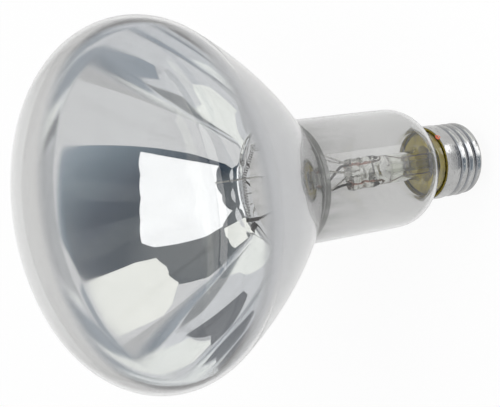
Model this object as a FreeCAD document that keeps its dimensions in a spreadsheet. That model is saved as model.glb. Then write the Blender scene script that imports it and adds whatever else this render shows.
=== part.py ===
import FreeCAD, Part
import math
import os
import Sketcher

# Reflector heat lamp: a blown glass bulb, a pressed stem that holds a ring filament, and a screw cap.
# The origin is the tip of the centre contact, +Z runs along the axis to the middle of the face.
# The side circuit lies on +X and the centre circuit on -X. Lengths are in millimetres.

doc = FreeCAD.newDocument("heat_lamp")
sheet = doc.addObject("Spreadsheet::Sheet", "Sizes")
pieces = []

# Driving dimensions, which fill the sheet: lengths in millimetres, angles in degrees
SIZES = {
    # Bulb
    "overall_length": 183,  # tip of the centre contact to the middle of the face
    "max_diameter": 125,  # widest part of the bulb
    "face_radius": 99.3,  # radius of the domed face
    "corner_radius": 19.6,  # round between the face and the reflector
    "reflector_radius": 197,  # curve of the reflector, seen in section
    "neck_fillet": 3.5,  # hollow round where the reflector meets the neck
    "neck_top_radius": 21.8,  # neck beside the reflector
    "neck_top_height": 90,  # where the neck begins
    "neck_low_radius": 21.2,  # neck beside the shoulder
    "shoulder_height": 43.1,  # where the shoulder begins
    "shoulder_radius": 12.7,  # round of the shoulder
    "root_radius": 4.3,  # hollow round between the shoulder and the stub
    "stub_radius": 12.5,  # stub that the cap is cemented to
    "foot_height": 22,  # lower end of the stub, sealed to the flare
    "glass_wall": 0.95,  # wall of the bulb
    # Mirror
    "mirror_thickness": 0.15,  # vapour-coated mirror, drawn thicker than it is
    "mirror_front_margin": 3.6,  # mirror in front of the widest part
    "mirror_back_margin": 2,  # mirror on the neck
    # Stem
    "tube_radius": 5.2,  # flare tube, outside
    "stem_wall": 0.8,  # wall of the flare tube
    "flare_radius": 5.5,  # round of the flare
    "flare_height": 25.5,  # upper side of the flare's rim
    "tube_top": 45,  # upper end of the flare tube's bore
    "press_low": 46.5,  # where the pressing of the tube begins
    "pinch_low": 50,  # lower end of the seal wires' glass
    "pinch_top": 61.5,  # upper end of the pressed pinch
    "pinch_width": 11,  # pinch, across the lead wires
    "pinch_thickness": 4.6,  # pinch, between its flats
    "exhaust_radius": 1.9,  # exhaust tube, outside
    "exhaust_wall": 0.6,  # wall of the exhaust tube
    "exhaust_low": 13,  # sealed tip of the exhaust tube
    # Wires
    "lead_spacing": 6.6,  # between the two lead wires in the pinch
    "lead_radius": 0.45,  # nickel lead wire
    "lead_bend": 4,  # bends of the lead wires
    "seal_radius": 0.35,  # seal wire in the pinch
    "seal_margin": 1,  # depth at which a seal wire is joined inside the glass
    "outer_radius": 0.22,  # copper lead wire below the pinch
    "outer_bend": 0.9,  # bends of the copper lead wires
    "support_radius": 0.3,  # support wire
    "support_bend": 5,  # bends of the support wires
    "support_seat": 4,  # depth of a support wire in the pinch
    "support_row": 1.25,  # support wires in the pinch, off the leads' plane
    "seat_outer": 4.6,  # seats of support wires, from the middle of the pinch
    "seat_middle": 1.1,  # seats nearer the middle
    "support_tip": 109.5,  # tip of the support wire that stands past the filament
    "wire_rise": 2,  # straight stretch of each wire above the pinch
    "wire_settle": 4,  # straight stretch of each wire below the filament
    # Filament
    "ring_radius": 15.6,  # ring of the hooks that carry the filament
    "ring_height": 95,  # plane of the filament
    "coil_radius": 0.8,  # outside of the coil
    "coil_bend": 2.5,  # bends of the coil at its hooks
    "coil_end": 2.5,  # end of the coil past the corner at the side lead's hook
    "hook_room": 0.1,  # between a hook and the coil
    "hook_step": 50,  # angle from one hook to the next, in degrees
    "clamp_angle": 123,  # place of the clamp round the ring, in degrees
    "clamp_reach": 19,  # clamp, from the axis
    "clamp_length": 5.4,  # flattened clamp on the first lead wire
    "clamp_width": 1.5,  # clamp, across the wire's heading
    "clamp_thickness": 1.3,  # clamp, along the coil
    # Cap
    "cap_rim": 25.5,  # rim of the cap
    "skirt_radius": 13.35,  # plain skirt, outside
    "skirt_low": 20.2,  # lower end of the skirt
    "sheet_thickness": 0.3,  # aluminium sheet
    "thread_crest": 13.1,  # crest of the thread
    "thread_depth": 0.9,  # crest to root
    "thread_pitch": 3.629,  # one turn of the thread
    "thread_turns": 3,  # full turns of the groove
    "groove_width": 3.45,  # groove, from crest to crest
    "thread_low": 7.71,  # middle of the groove where it begins
    "cap_corner": 2.2,  # round between the thread and the cap's end
    "cap_end": 7.2,  # turned-in end of the shell
    "cap_opening": 9.6,  # opening in the shell's end, as a radius
    "insulator_top": 9.2,  # insulator inside the shell
    "insulator_end": 1.6,  # insulator beside the contact plate
    "insulator_nose": 5.6,  # insulator's small end, as a radius
    "contact_radius": 5.2,  # contact plate
    "contact_plane": 0.5,  # flat of the contact plate
    "contact_sheet": 0.4,  # brass sheet
    "eyelet_radius": 0.9,  # hole of the eyelet
    "eyelet_top": 4.4,  # upper end of the eyelet
    "solder_radius": 1.9,  # solder on the contact plate
    "cement_gap": 0.1,  # cement below the rim of the cap
    "cement_bore": 6.5,  # open middle of the cement ring
    "cement_low": 15,  # lower side of the cement ring
    "weld_radius": 1.15,  # weld of the side lead on the rim
    "weld_angle": -50,  # place of the weld round the rim, in degrees
}

for row, (alias, number) in enumerate(SIZES.items(), start=1):
    sheet.set(f"A{row}", alias.replace("_", " "))
    sheet.set(f"B{row}", str(number))
    sheet.setAlias(f"B{row}", alias)
doc.recompute()


def size(formula):
    """Number that a formula of the sheet's aliases gives."""
    return float(sheet.evalExpression(formula))


def point_at(centre, radius, towards):
    """Point of a circle on the line from its centre towards another point."""
    across, up = towards[0] - centre[0], towards[1] - centre[1]
    length = math.hypot(across, up)
    return (centre[0] + radius * across / length, centre[1] + radius * up / length)


def angle_of(centre, point):
    return math.atan2(point[1] - centre[1], point[0] - centre[0])


def step_from(start, heading, distance):
    return (start[0] + distance * math.cos(heading), start[1] + distance * math.sin(heading))


def inner_crossing(first, first_radius, second, second_radius):
    """Crossing of two circles that lies nearer the axis."""
    across, up = second[0] - first[0], second[1] - first[1]
    apart = math.hypot(across, up)
    along = (first_radius**2 - second_radius**2 + apart**2) / (2 * apart)
    aside = math.sqrt(first_radius**2 - along**2)
    middle = (first[0] + along * across / apart, first[1] + along * up / apart)
    sides = [(middle[0] + s * aside * up / apart, middle[1] - s * aside * across / apart) for s in (1, -1)]
    return min(sides)


def origin_part(body, role):
    return [part for part in body.Origin.OriginFeatures if part.Role == role][0]


def new_body(name):
    return doc.addObject("PartDesign::Body", name)


def object_name(label):
    """Name of the tree object that makes the piece with this label."""
    return label.title().replace("_", "")


def finish(thing, label):
    """Name a finished piece, so that it is checked and written."""
    thing.Label = label
    pieces.append(thing)
    return thing


START, END, CENTRE = range(1, 4)


class Profile:
    """Sketch on an origin plane of a body, whose dimensions follow formulas of the sheet.

    Points of a line or an arc are named by START, END and CENTRE.
    """

    def __init__(self, body, name, role="XZ_Plane"):
        self.sketch = body.newObject("Sketcher::SketchObject", name)
        self.sketch.AttachmentSupport = [(origin_part(body, role), "")]
        self.sketch.MapMode = "FlatFace"

    def line(self, start, end):
        shape = Part.LineSegment(FreeCAD.Vector(*start, 0), FreeCAD.Vector(*end, 0))
        return self.sketch.addGeometry(shape, False)

    def arc(self, centre, start, end):
        """Arc that runs anticlockwise from start to end."""
        radius = math.hypot(start[0] - centre[0], start[1] - centre[1])
        circle = Part.Circle(FreeCAD.Vector(*centre, 0), FreeCAD.Vector(0, 0, 1), radius)
        first, last = angle_of(centre, start), angle_of(centre, end)
        if last < first:
            last += 2 * math.pi
        return self.sketch.addGeometry(Part.ArcOfCircle(circle, first, last), False)

    def circle(self, across, up, radius):
        centre = FreeCAD.Vector(size(across), size(up), 0)
        shape = Part.Circle(centre, FreeCAD.Vector(0, 0, 1), size(radius))
        item = self.sketch.addGeometry(shape, False)
        self.place(item, CENTRE, across, up)
        self.radius(item, radius)
        return item

    def rule(self, *terms):
        return self.sketch.addConstraint(Sketcher.Constraint(*terms))

    def dimension(self, formula, *terms):
        index = self.rule(*terms, size(formula))
        self.sketch.setExpression(f"Constraints[{index}]", formula)

    def place_across(self, item, point, formula):
        if formula == "0":
            self.rule("PointOnObject", item, point, -2)
        else:
            self.dimension(formula, "DistanceX", -1, 1, item, point)

    def place_up(self, item, point, formula):
        if formula == "0":
            self.rule("PointOnObject", item, point, -1)
        else:
            self.dimension(formula, "DistanceY", -1, 1, item, point)

    def place(self, item, point, across, up):
        self.place_across(item, point, across)
        self.place_up(item, point, up)

    def radius(self, item, formula):
        self.dimension(formula, "Radius", item)

    def join(self, first, first_end, second, second_end):
        self.rule("Coincident", first, first_end, second, second_end)

    def blend(self, first, first_end, second, second_end):
        """Join two ends so that the line runs on smoothly."""
        self.rule("Tangent", first, first_end, second, second_end)

    def polygon(self, corners):
        """Closed outline through corners given as pairs of formulas."""
        places = [(size(across), size(up)) for across, up in corners]
        lines = [self.line(places[i], places[(i + 1) % len(places)]) for i in range(len(places))]
        for i, item in enumerate(lines):
            self.join(item, END, lines[(i + 1) % len(lines)], START)
            self.place(item, START, *corners[i])
        return lines


def turn(body, name, profile, cut=False):
    """Revolve a profile about the axis, as a solid or as a cut."""
    before = body.Shape.Volume if cut else 0
    kind = "PartDesign::Groove" if cut else "PartDesign::Revolution"
    feature = body.newObject(kind, name)
    feature.Profile = profile.sketch
    feature.ReferenceAxis = (origin_part(body, "Z_Axis"), [""])
    feature.Angle = 360
    doc.recompute()
    if cut and not feature.Shape.Volume < before:
        raise RuntimeError(f"{name} cuts nothing")
    return feature


def bulb_outline(body, name, inset, foot):
    """Half section of the bulb, from the face to the foot, at a depth below its outer surface."""
    depth = size(inset)
    p = Profile(body, name)

    face_centre = (0, size("Sizes.overall_length - Sizes.face_radius"))
    corner_across = size("Sizes.max_diameter / 2 - Sizes.corner_radius")
    corner_reach = size("Sizes.face_radius - Sizes.corner_radius")
    corner_centre = (corner_across, face_centre[1] + math.sqrt(corner_reach**2 - corner_across**2))
    fillet_centre = (size("Sizes.neck_top_radius + Sizes.neck_fillet"), size("Sizes.neck_top_height"))
    mirror_centre = inner_crossing(
        corner_centre, size("Sizes.reflector_radius - Sizes.corner_radius"),
        fillet_centre, size("Sizes.reflector_radius + Sizes.neck_fillet"))
    shoulder_centre = (size("Sizes.neck_low_radius - Sizes.shoulder_radius"), size("Sizes.shoulder_height"))
    root_across = size("Sizes.stub_radius + Sizes.root_radius")
    root_reach = size("Sizes.shoulder_radius + Sizes.root_radius")
    root_drop = math.sqrt(root_reach**2 - (root_across - shoulder_centre[0])**2)
    root_centre = (root_across, shoulder_centre[1] - root_drop)

    top = (0, size("Sizes.overall_length") - depth)
    face_end = point_at(face_centre, size("Sizes.face_radius") - depth, corner_centre)
    corner_end = point_at(mirror_centre, size("Sizes.reflector_radius") - depth, corner_centre)
    mirror_end = point_at(fillet_centre, size("Sizes.neck_fillet") + depth, mirror_centre)
    neck_top = (size("Sizes.neck_top_radius") - depth, fillet_centre[1])
    neck_low = (size("Sizes.neck_low_radius") - depth, shoulder_centre[1])
    shoulder_end = point_at(shoulder_centre, size("Sizes.shoulder_radius") - depth, root_centre)
    root_end = (size("Sizes.stub_radius") - depth, root_centre[1])
    stub_end = (root_end[0], size(foot))

    face = p.arc(face_centre, face_end, top)
    corner = p.arc(corner_centre, corner_end, face_end)
    mirror = p.arc(mirror_centre, mirror_end, corner_end)
    fillet = p.arc(fillet_centre, mirror_end, neck_top)
    neck = p.line(neck_top, neck_low)
    shoulder = p.arc(shoulder_centre, shoulder_end, neck_low)
    root = p.arc(root_centre, shoulder_end, root_end)
    stub = p.line(root_end, stub_end)
    base = p.line(stub_end, (0, stub_end[1]))
    axis = p.line((0, stub_end[1]), top)

    p.place(face, CENTRE, "0", "Sizes.overall_length - Sizes.face_radius")
    p.radius(face, f"Sizes.face_radius - {inset}")
    p.place_across(face, END, "0")
    p.blend(face, START, corner, END)
    p.place_across(corner, CENTRE, "Sizes.max_diameter / 2 - Sizes.corner_radius")
    p.radius(corner, f"Sizes.corner_radius - {inset}")
    p.blend(corner, START, mirror, END)
    p.radius(mirror, f"Sizes.reflector_radius - {inset}")
    p.blend(mirror, START, fillet, START)
    p.place(fillet, CENTRE, "Sizes.neck_top_radius + Sizes.neck_fillet", "Sizes.neck_top_height")
    p.radius(fillet, f"Sizes.neck_fillet + {inset}")
    p.join(fillet, END, neck, START)
    p.place_up(neck, START, "Sizes.neck_top_height")
    p.join(neck, END, shoulder, END)
    p.place_up(neck, END, "Sizes.shoulder_height")
    p.place(shoulder, CENTRE, "Sizes.neck_low_radius - Sizes.shoulder_radius", "Sizes.shoulder_height")
    p.radius(shoulder, f"Sizes.shoulder_radius - {inset}")
    p.blend(shoulder, START, root, START)
    p.radius(root, f"Sizes.root_radius + {inset}")
    p.blend(root, END, stub, START)
    p.rule("Vertical", stub)
    p.place(stub, END, f"Sizes.stub_radius - {inset}", foot)
    p.join(stub, END, base, START)
    p.rule("Horizontal", base)
    p.place_across(base, END, "0")
    p.join(base, END, axis, START)
    p.join(axis, END, face, END)
    return p


# Glass bulb
envelope = new_body("Envelope")
turn(envelope, "EnvelopeOutside", bulb_outline(envelope, "EnvelopeOutline", "0", "Sizes.foot_height"))
turn(envelope, "EnvelopeInside",
     bulb_outline(envelope, "EnvelopeHollow", "Sizes.glass_wall", "Sizes.foot_height - 2 * Sizes.glass_wall"),
     cut=True)
finish(envelope, "glass_envelope")

# Mirror coating on the inside of the reflector, between its front and back edges
mirror = new_body("Mirror")
turn(mirror, "MirrorOutside", bulb_outline(mirror, "MirrorOutline", "Sizes.glass_wall", "Sizes.foot_height"))
turn(mirror, "MirrorInside",
     bulb_outline(mirror, "MirrorHollow", "(Sizes.glass_wall + Sizes.mirror_thickness)", "Sizes.foot_height"),
     cut=True)
face_drop = "(Sizes.face_radius - Sizes.corner_radius)"
corner_out = "(Sizes.max_diameter / 2 - Sizes.corner_radius)"
widest_height = f"Sizes.overall_length - Sizes.face_radius + sqrt({face_drop}^2 - {corner_out}^2)"
for name, low, high in (
        ("MirrorFront", f"{widest_height} + Sizes.mirror_front_margin", "Sizes.overall_length"),
        ("MirrorBack", "Sizes.foot_height", "Sizes.neck_top_height - Sizes.mirror_back_margin")):
    trim = Profile(mirror, name + "Trim")
    trim.polygon([("0", low), ("Sizes.max_diameter", low), ("Sizes.max_diameter", high), ("0", high)])
    turn(mirror, name, trim, cut=True)
finish(mirror, "mirror_coating")

# Wires: each runs in one upright plane, straight up, across and straight up again


def heading_between(start, end):
    """Formulas for the direction and the length of the way between two (across, along) places."""
    across, along = f"({end[0]} - {start[0]})", f"({end[1]} - {start[1]})"
    return f"atan2({along}; {across})", f"sqrt({across}^2 + {along}^2)"


def wire_between(label, start, finish_at, radius, bend, rise, settle, top, hook="0"):
    """Round wire from one place to another, both given as (across, along) formulas.

    It starts at the height start[2], leaves it by rise, comes upright again settle below the
    ring and ends at top. A hook is a half turn over the coil, of that radius.
    """
    body = new_body(object_name(label))
    across, along, up = start
    heading_formula, span = heading_between((across, along), finish_at)
    body.setExpression("Placement.Base.x", across)
    body.setExpression("Placement.Base.y", along)
    body.setExpression("Placement.Base.z", up)
    body.setExpression("Placement.Rotation.Angle", heading_formula)
    reach = f"({span} - {hook})" if hook != "0" else span
    path = Profile(body, object_name(label) + "Path")

    bend_size, reach_size, rise_size = size(bend), size(reach), size(rise)
    settle_size, top_size = size(f"{settle} - {up}"), size(f"{top} - {up}")
    low_centre, high_centre = (bend_size, rise_size), (reach_size - bend_size, settle_size)
    across_size, up_size = high_centre[0] - low_centre[0], high_centre[1] - low_centre[1]
    apart = math.hypot(across_size, up_size)
    lean = math.atan2(across_size, up_size) + math.asin(2 * bend_size / apart)
    leave = (low_centre[0] - bend_size * math.cos(lean), low_centre[1] + bend_size * math.sin(lean))
    arrive = (high_centre[0] + bend_size * math.cos(lean), high_centre[1] - bend_size * math.sin(lean))

    foot = path.line((0, 0), (0, rise_size))
    low_bend = path.arc(low_centre, leave, (0, rise_size))
    slope = path.line(leave, arrive)
    high_bend = path.arc(high_centre, arrive, (reach_size, settle_size))
    post = path.line((reach_size, settle_size), (reach_size, top_size))
    path.rule("Coincident", foot, START, -1, 1)
    path.rule("Vertical", foot)
    path.place_up(foot, END, rise)
    path.blend(foot, END, low_bend, END)
    path.radius(low_bend, bend)
    path.blend(low_bend, START, slope, START)
    path.blend(slope, END, high_bend, START)
    path.radius(high_bend, bend)
    path.blend(high_bend, END, post, START)
    path.rule("Vertical", post)
    path.place_up(post, START, f"{settle} - {up}")
    path.place(post, END, reach, f"{top} - {up}")
    if hook != "0":
        hook_size = size(hook)
        hook_centre = (reach_size + hook_size, top_size)
        over = path.arc(hook_centre, (reach_size + 2 * hook_size, top_size), (reach_size, top_size))
        tail_across = reach_size + 2 * hook_size
        tail = path.line((tail_across, top_size), (tail_across, top_size - hook_size))
        path.blend(post, END, over, END)
        path.radius(over, hook)
        path.blend(over, START, tail, START)
        path.rule("Vertical", tail)
        path.dimension(hook, "DistanceY", tail, END, tail, START)
    section = Profile(body, object_name(label) + "Section", "XY_Plane")
    section.circle("0", "0", radius)
    return pipe_along(body, object_name(label) + "Pipe", section, path)


def bent_path(path, corners, bend):
    """Straight runs through corners given as pairs of formulas, with an arc of one radius at each."""
    radius = size(bend)
    places = [(size(across), size(up)) for across, up in corners]
    ends = [places[0]]
    arcs = []
    for before, corner, after in zip(places, places[1:], places[2:]):
        arrive = angle_of(corner, before)
        sweep = math.remainder(angle_of(corner, after) - arrive, 2 * math.pi)
        half = abs(sweep) / 2
        middle = step_from(corner, arrive + sweep / 2, radius / math.sin(half))
        touch = [step_from(corner, way, radius / math.tan(half)) for way in (arrive, arrive + sweep)]
        arcs.append((middle, touch, sweep < 0))
        ends += touch
    ends.append(places[-1])
    runs = [path.line(ends[2 * i], ends[2 * i + 1]) for i in range(len(places) - 1)]
    path.place(runs[0], START, *corners[0])
    path.place(runs[-1], END, *corners[-1])
    for i, (middle, touch, anticlockwise) in enumerate(arcs):
        bow = path.arc(middle, *(touch if anticlockwise else touch[::-1]))
        path.blend(runs[i], END, bow, START if anticlockwise else END)
        path.blend(bow, END if anticlockwise else START, runs[i + 1], START)
        path.radius(bow, bend)
        corner = path.sketch.addGeometry(Part.Point(FreeCAD.Vector(*places[i + 1], 0)), True)
        path.rule("PointOnObject", corner, START, runs[i])
        path.rule("PointOnObject", corner, START, runs[i + 1])
        path.place(corner, START, *corners[i + 1])


def pipe_along(body, name, section, path):
    """Round solid that a section makes along a path."""
    doc.recompute()
    pipe = body.newObject("PartDesign::AdditivePipe", name)
    pipe.Profile = section.sketch
    pipe.Spine = (path.sketch, [])
    doc.recompute()
    return body


def ring_place(angle, radius="Sizes.ring_radius"):
    """Place round the axis, as formulas."""
    return (f"{radius} * cos({angle})", f"{radius} * sin({angle})")


def hook_angle(number):
    """Direction of the hooks, counted clockwise round the ring from the clamp."""
    return f"(Sizes.clamp_angle - {number} * Sizes.hook_step) * 1deg"


side = "Sizes.lead_spacing / 2"
centre_side = "-Sizes.lead_spacing / 2"
lead_start = "(Sizes.pinch_top - Sizes.seal_margin)"
lead_rise = "Sizes.seal_margin + Sizes.wire_rise"
settle_height = "(Sizes.ring_height - Sizes.wire_settle)"

# Corners of the coil, which is drawn straight from the clamp to the first hook and from hook to hook
HOOKS = 6
clamp_place = ring_place("Sizes.clamp_angle * 1deg", "Sizes.clamp_reach")
corner_radius = "(Sizes.ring_radius + Sizes.coil_bend * (1 / cos(Sizes.hook_step / 2 * 1deg) - 1))"
coil_corners = [ring_place(hook_angle(number), corner_radius) for number in range(1, HOOKS + 1)]
first_heading, _ = heading_between(clamp_place, coil_corners[0])
last_heading = f"({hook_angle(HOOKS + 1 / 2)} - 90deg)"
coil_start = tuple(f"{place} + Sizes.clamp_thickness / 2 * {part}({first_heading})"
                   for place, part in zip(clamp_place, ("cos", "sin")))
coil_stop = tuple(f"{place} + Sizes.coil_end * {part}({last_heading})"
                  for place, part in zip(coil_corners[-1], ("cos", "sin")))

# Lead wire of the centre circuit, with the flattened clamp that grips the first end of the filament
clamp_lead = wire_between(
    "inner_lead_centre", (centre_side, "0", lead_start), clamp_place, "Sizes.lead_radius",
    "Sizes.lead_bend", lead_rise, settle_height, "(Sizes.ring_height - Sizes.coil_radius)")
clamp = Profile(clamp_lead, "ClampOutline", "XY_Plane")
clamp.polygon([(f"{end_of} * Sizes.clamp_thickness / 2", f"{side_of} * Sizes.clamp_width / 2")
               for side_of, end_of in ((-1, -1), (-1, 1), (1, 1), (1, -1))])
clamp_heading, clamp_span = heading_between((centre_side, "0"), clamp_place)
clamp.sketch.setExpression("AttachmentOffset.Base.x", clamp_span)
clamp.sketch.setExpression("AttachmentOffset.Rotation.Angle", f"{first_heading} - {clamp_heading}")
clamp.sketch.setExpression(
    "AttachmentOffset.Base.z",
    f"Sizes.ring_height + Sizes.coil_radius - Sizes.clamp_length - {lead_start}")
doc.recompute()
clamp_block = clamp_lead.newObject("PartDesign::Pad", "ClampBlock")
clamp_block.Profile = clamp.sketch
clamp_block.setExpression("Length", "Sizes.clamp_length")
clamp_block.Refine = True
doc.recompute()
finish(clamp_lead, "inner_lead_centre")

# Lead wire of the side circuit, hooked over the coil near its other end
lead_hook = "(Sizes.coil_radius + Sizes.hook_room + Sizes.lead_radius)"
side_hook_lead = wire_between(
    "inner_lead_side", (side, "0", lead_start), ring_place(hook_angle(HOOKS)), "Sizes.lead_radius",
    "Sizes.lead_bend", lead_rise, settle_height, "Sizes.ring_height", lead_hook)
finish(side_hook_lead, "inner_lead_side")

# Support wires, seated in the top of the pinch beside the leads' plane and spread round the ring
support_hook = "(Sizes.coil_radius + Sizes.hook_room + Sizes.support_radius)"
support_start = "(Sizes.pinch_top - Sizes.support_seat)"
support_rise = "Sizes.support_seat + Sizes.wire_rise"
# Seat of each wire along the pinch from its middle, and off the leads' plane
SEATS = (
    ("Sizes.seat_middle", "Sizes.support_row"),
    ("Sizes.seat_outer", "Sizes.support_row"),
    ("Sizes.seat_outer", "-Sizes.support_row"),
    ("Sizes.seat_middle", "-Sizes.support_row"),
    ("-Sizes.seat_middle", "-Sizes.support_row"))
for number, seat in enumerate(SEATS, start=1):
    # The first wire stands straight up inside the coil, the others hook over it
    straight = number == 1
    beside_coil = f"(Sizes.ring_radius - {support_hook})"
    support = wire_between(
        f"support_wire_{number}", (*seat, support_start),
        ring_place(hook_angle(number), beside_coil if straight else "Sizes.ring_radius"),
        "Sizes.support_radius", "Sizes.support_bend", support_rise, settle_height,
        "Sizes.support_tip" if straight else "Sizes.ring_height", "0" if straight else support_hook)
    finish(support, f"support_wire_{number}")

# Filament: the closed outer form of its close-wound coil
filament = new_body("Filament")
coil_path = Profile(filament, "CoilPath", "XY_Plane")
coil_path.sketch.setExpression("AttachmentOffset.Base.z", "Sizes.ring_height")
bent_path(coil_path, [coil_start, *coil_corners, coil_stop], "Sizes.coil_bend")
coil_section = Profile(filament, "CoilSection")
coil_section.circle("0", "0", "Sizes.coil_radius")
upright = FreeCAD.Rotation(FreeCAD.Vector(0, 1, 0), 0)
coil_section.sketch.AttachmentOffset = FreeCAD.Placement(FreeCAD.Vector(), upright)
coil_section.sketch.setExpression("AttachmentOffset.Base.x", coil_start[0])
coil_section.sketch.setExpression("AttachmentOffset.Base.y", "Sizes.ring_height")
coil_section.sketch.setExpression("AttachmentOffset.Base.z", f"-({coil_start[1]})")
coil_section.sketch.setExpression("AttachmentOffset.Rotation.Angle", f"{first_heading} - 90deg")
finish(pipe_along(filament, "CoilPipe", coil_section, coil_path), "filament")

# Seal wires, joined to the leads inside the glass
for label, across in (("seal_wire_side", side), ("seal_wire_centre", centre_side)):
    seal = doc.addObject("Part::Cylinder", object_name(label))
    seal.setExpression("Radius", "Sizes.seal_radius")
    seal.setExpression("Height", "Sizes.pinch_top - Sizes.pinch_low - 2 * Sizes.seal_margin")
    seal.setExpression("Placement.Base.x", across)
    seal.setExpression("Placement.Base.z", "Sizes.pinch_low + Sizes.seal_margin")
    finish(seal, label)

# Stem: a flare tube whose rim is sealed to the bulb's foot, pressed flat at the top round the wires
stem = new_body("Stem")
rim_radius = "Sizes.stub_radius - Sizes.glass_wall"
tube_bore = "Sizes.tube_radius - Sizes.stem_wall"


def flare_round(inset):
    """Corners of the flare's round, in five flats from the tube to the rim, at a depth in the glass."""
    reach = f"(Sizes.flare_radius + {inset})"
    return [(f"Sizes.tube_radius + Sizes.flare_radius - {reach} * cos({turned} * 1deg)",
             f"Sizes.flare_height + Sizes.flare_radius - {reach} * sin({turned} * 1deg)")
            for turned in range(0, 91, 18)]


flare = Profile(stem, "FlareSection")
flare.polygon([
    ("0", "Sizes.tube_top"), ("0", "Sizes.press_low"), ("Sizes.tube_radius", "Sizes.press_low"),
    *flare_round("0"),
    (rim_radius, "Sizes.flare_height"), (rim_radius, "Sizes.foot_height"),
    (f"{rim_radius} - Sizes.stem_wall", "Sizes.foot_height"),
    (f"{rim_radius} - Sizes.stem_wall", "Sizes.flare_height - Sizes.stem_wall"),
    *reversed(flare_round("Sizes.stem_wall")),
    (tube_bore, "Sizes.tube_top")])
turn(stem, "FlareTube", flare)

pinch_foot = Profile(stem, "PinchFoot", "XY_Plane")
pinch_foot.circle("0", "0", "Sizes.tube_radius")
pinch_foot.sketch.setExpression("AttachmentOffset.Base.z", "Sizes.press_low")


def pinch_section(name, height):
    """Flat-sided section with round edges, like glass pressed between two jaws."""
    p = Profile(stem, name, "XY_Plane")
    half = size("Sizes.pinch_thickness / 2")
    flat = size("Sizes.pinch_width / 2") - half
    right = p.arc((flat, 0), (flat, -half), (flat, half))
    left = p.arc((-flat, 0), (-flat, half), (-flat, -half))
    far, near = p.line((flat, half), (-flat, half)), p.line((-flat, -half), (flat, -half))
    loop = (right, far, left, near)
    for item, following in zip(loop, loop[1:] + loop[:1]):
        p.blend(item, END, following, START)
    p.place(right, CENTRE, "Sizes.pinch_width / 2 - Sizes.pinch_thickness / 2", "0")
    p.place(left, CENTRE, "Sizes.pinch_thickness / 2 - Sizes.pinch_width / 2", "0")
    p.radius(right, "Sizes.pinch_thickness / 2")
    p.sketch.setExpression("AttachmentOffset.Base.z", height)
    return p


pinch_low = pinch_section("PinchLowSection", "Sizes.pinch_low + Sizes.seal_margin")
doc.recompute()
shoulder_loft = stem.newObject("PartDesign::AdditiveLoft", "PinchShoulder")
shoulder_loft.Profile = pinch_foot.sketch
shoulder_loft.Sections = [pinch_low.sketch]
shoulder_loft.Ruled = True
doc.recompute()
pinch_pad = stem.newObject("PartDesign::Pad", "Pinch")
pinch_pad.Profile = pinch_section("PinchSection", "Sizes.pinch_low + Sizes.seal_margin").sketch
pinch_pad.setExpression("Length", "Sizes.pinch_top - Sizes.pinch_low - Sizes.seal_margin")
doc.recompute()


def drill(name, places, radius, top, depth):
    """Round holes down into the stem, in which the glass has closed on the wires."""
    holes = Profile(stem, name + "Circles", "XY_Plane")
    for across, along in places:
        holes.circle(across, along, radius)
    holes.sketch.setExpression("AttachmentOffset.Base.z", top)
    doc.recompute()
    before = stem.Shape.Volume
    cut = stem.newObject("PartDesign::Pocket", name)
    cut.Profile = holes.sketch
    cut.setExpression("Length", depth)
    doc.recompute()
    if not cut.Shape.Volume < before:
        raise RuntimeError(f"{name} cuts nothing")


lead_places = [(side, "0"), (centre_side, "0")]
drill("LeadSeats", lead_places, "Sizes.lead_radius", "Sizes.pinch_top", "Sizes.seal_margin")
drill("SealSeats", lead_places, "Sizes.seal_radius", "Sizes.pinch_top",
      "Sizes.pinch_top - Sizes.pinch_low - Sizes.seal_margin")
drill("OuterSeats", lead_places, "Sizes.outer_radius", "Sizes.pinch_low + Sizes.seal_margin",
      "Sizes.pinch_low + Sizes.seal_margin - Sizes.tube_top")
drill("SupportSeats", SEATS, "Sizes.support_radius", "Sizes.pinch_top", "Sizes.support_seat")
finish(stem, "stem_glass")

# Exhaust tube, hung from the closed top of the flare tube and melted shut at its tip
exhaust = new_body("Exhaust")
tip = Profile(exhaust, "ExhaustSection")
tip_centre = (0, size("Sizes.exhaust_low + Sizes.exhaust_radius"))
outer_start = (0, size("Sizes.exhaust_low"))
outer_side = (size("Sizes.exhaust_radius"), tip_centre[1])
bore_top = size("Sizes.tube_top")
bore = size("Sizes.exhaust_radius - Sizes.exhaust_wall")
outer_tip = tip.arc(tip_centre, outer_start, outer_side)
outer_wall = tip.line(outer_side, (outer_side[0], bore_top))
top_rim = tip.line((outer_side[0], bore_top), (bore, bore_top))
inner_wall = tip.line((bore, bore_top), (bore, tip_centre[1]))
inner_tip = tip.arc(tip_centre, (0, tip_centre[1] - bore), (bore, tip_centre[1]))
tip_axis = tip.line((0, tip_centre[1] - bore), outer_start)
for item, leaving, following, entering in (
        (outer_wall, END, top_rim, START), (top_rim, END, inner_wall, START),
        (tip_axis, END, outer_tip, START), (inner_tip, START, tip_axis, START)):
    tip.join(item, leaving, following, entering)
tip.blend(outer_tip, END, outer_wall, START)
tip.blend(inner_wall, END, inner_tip, END)
tip.place(outer_tip, CENTRE, "0", "Sizes.exhaust_low + Sizes.exhaust_radius")
tip.place_across(outer_tip, START, "0")
tip.radius(outer_tip, "Sizes.exhaust_radius")
tip.rule("Vertical", outer_wall)
tip.place_up(outer_wall, END, "Sizes.tube_top")
tip.place(top_rim, END, "Sizes.exhaust_radius - Sizes.exhaust_wall", "Sizes.tube_top")
tip.place(inner_tip, CENTRE, "0", "Sizes.exhaust_low + Sizes.exhaust_radius")
tip.rule("Vertical", inner_wall)
tip.place_across(inner_tip, START, "0")
turn(exhaust, "ExhaustTube", tip)
finish(exhaust, "exhaust_tube")

# Copper lead wires below the pinch: one runs down to the eyelet, one out to the rim of the cap


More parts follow.
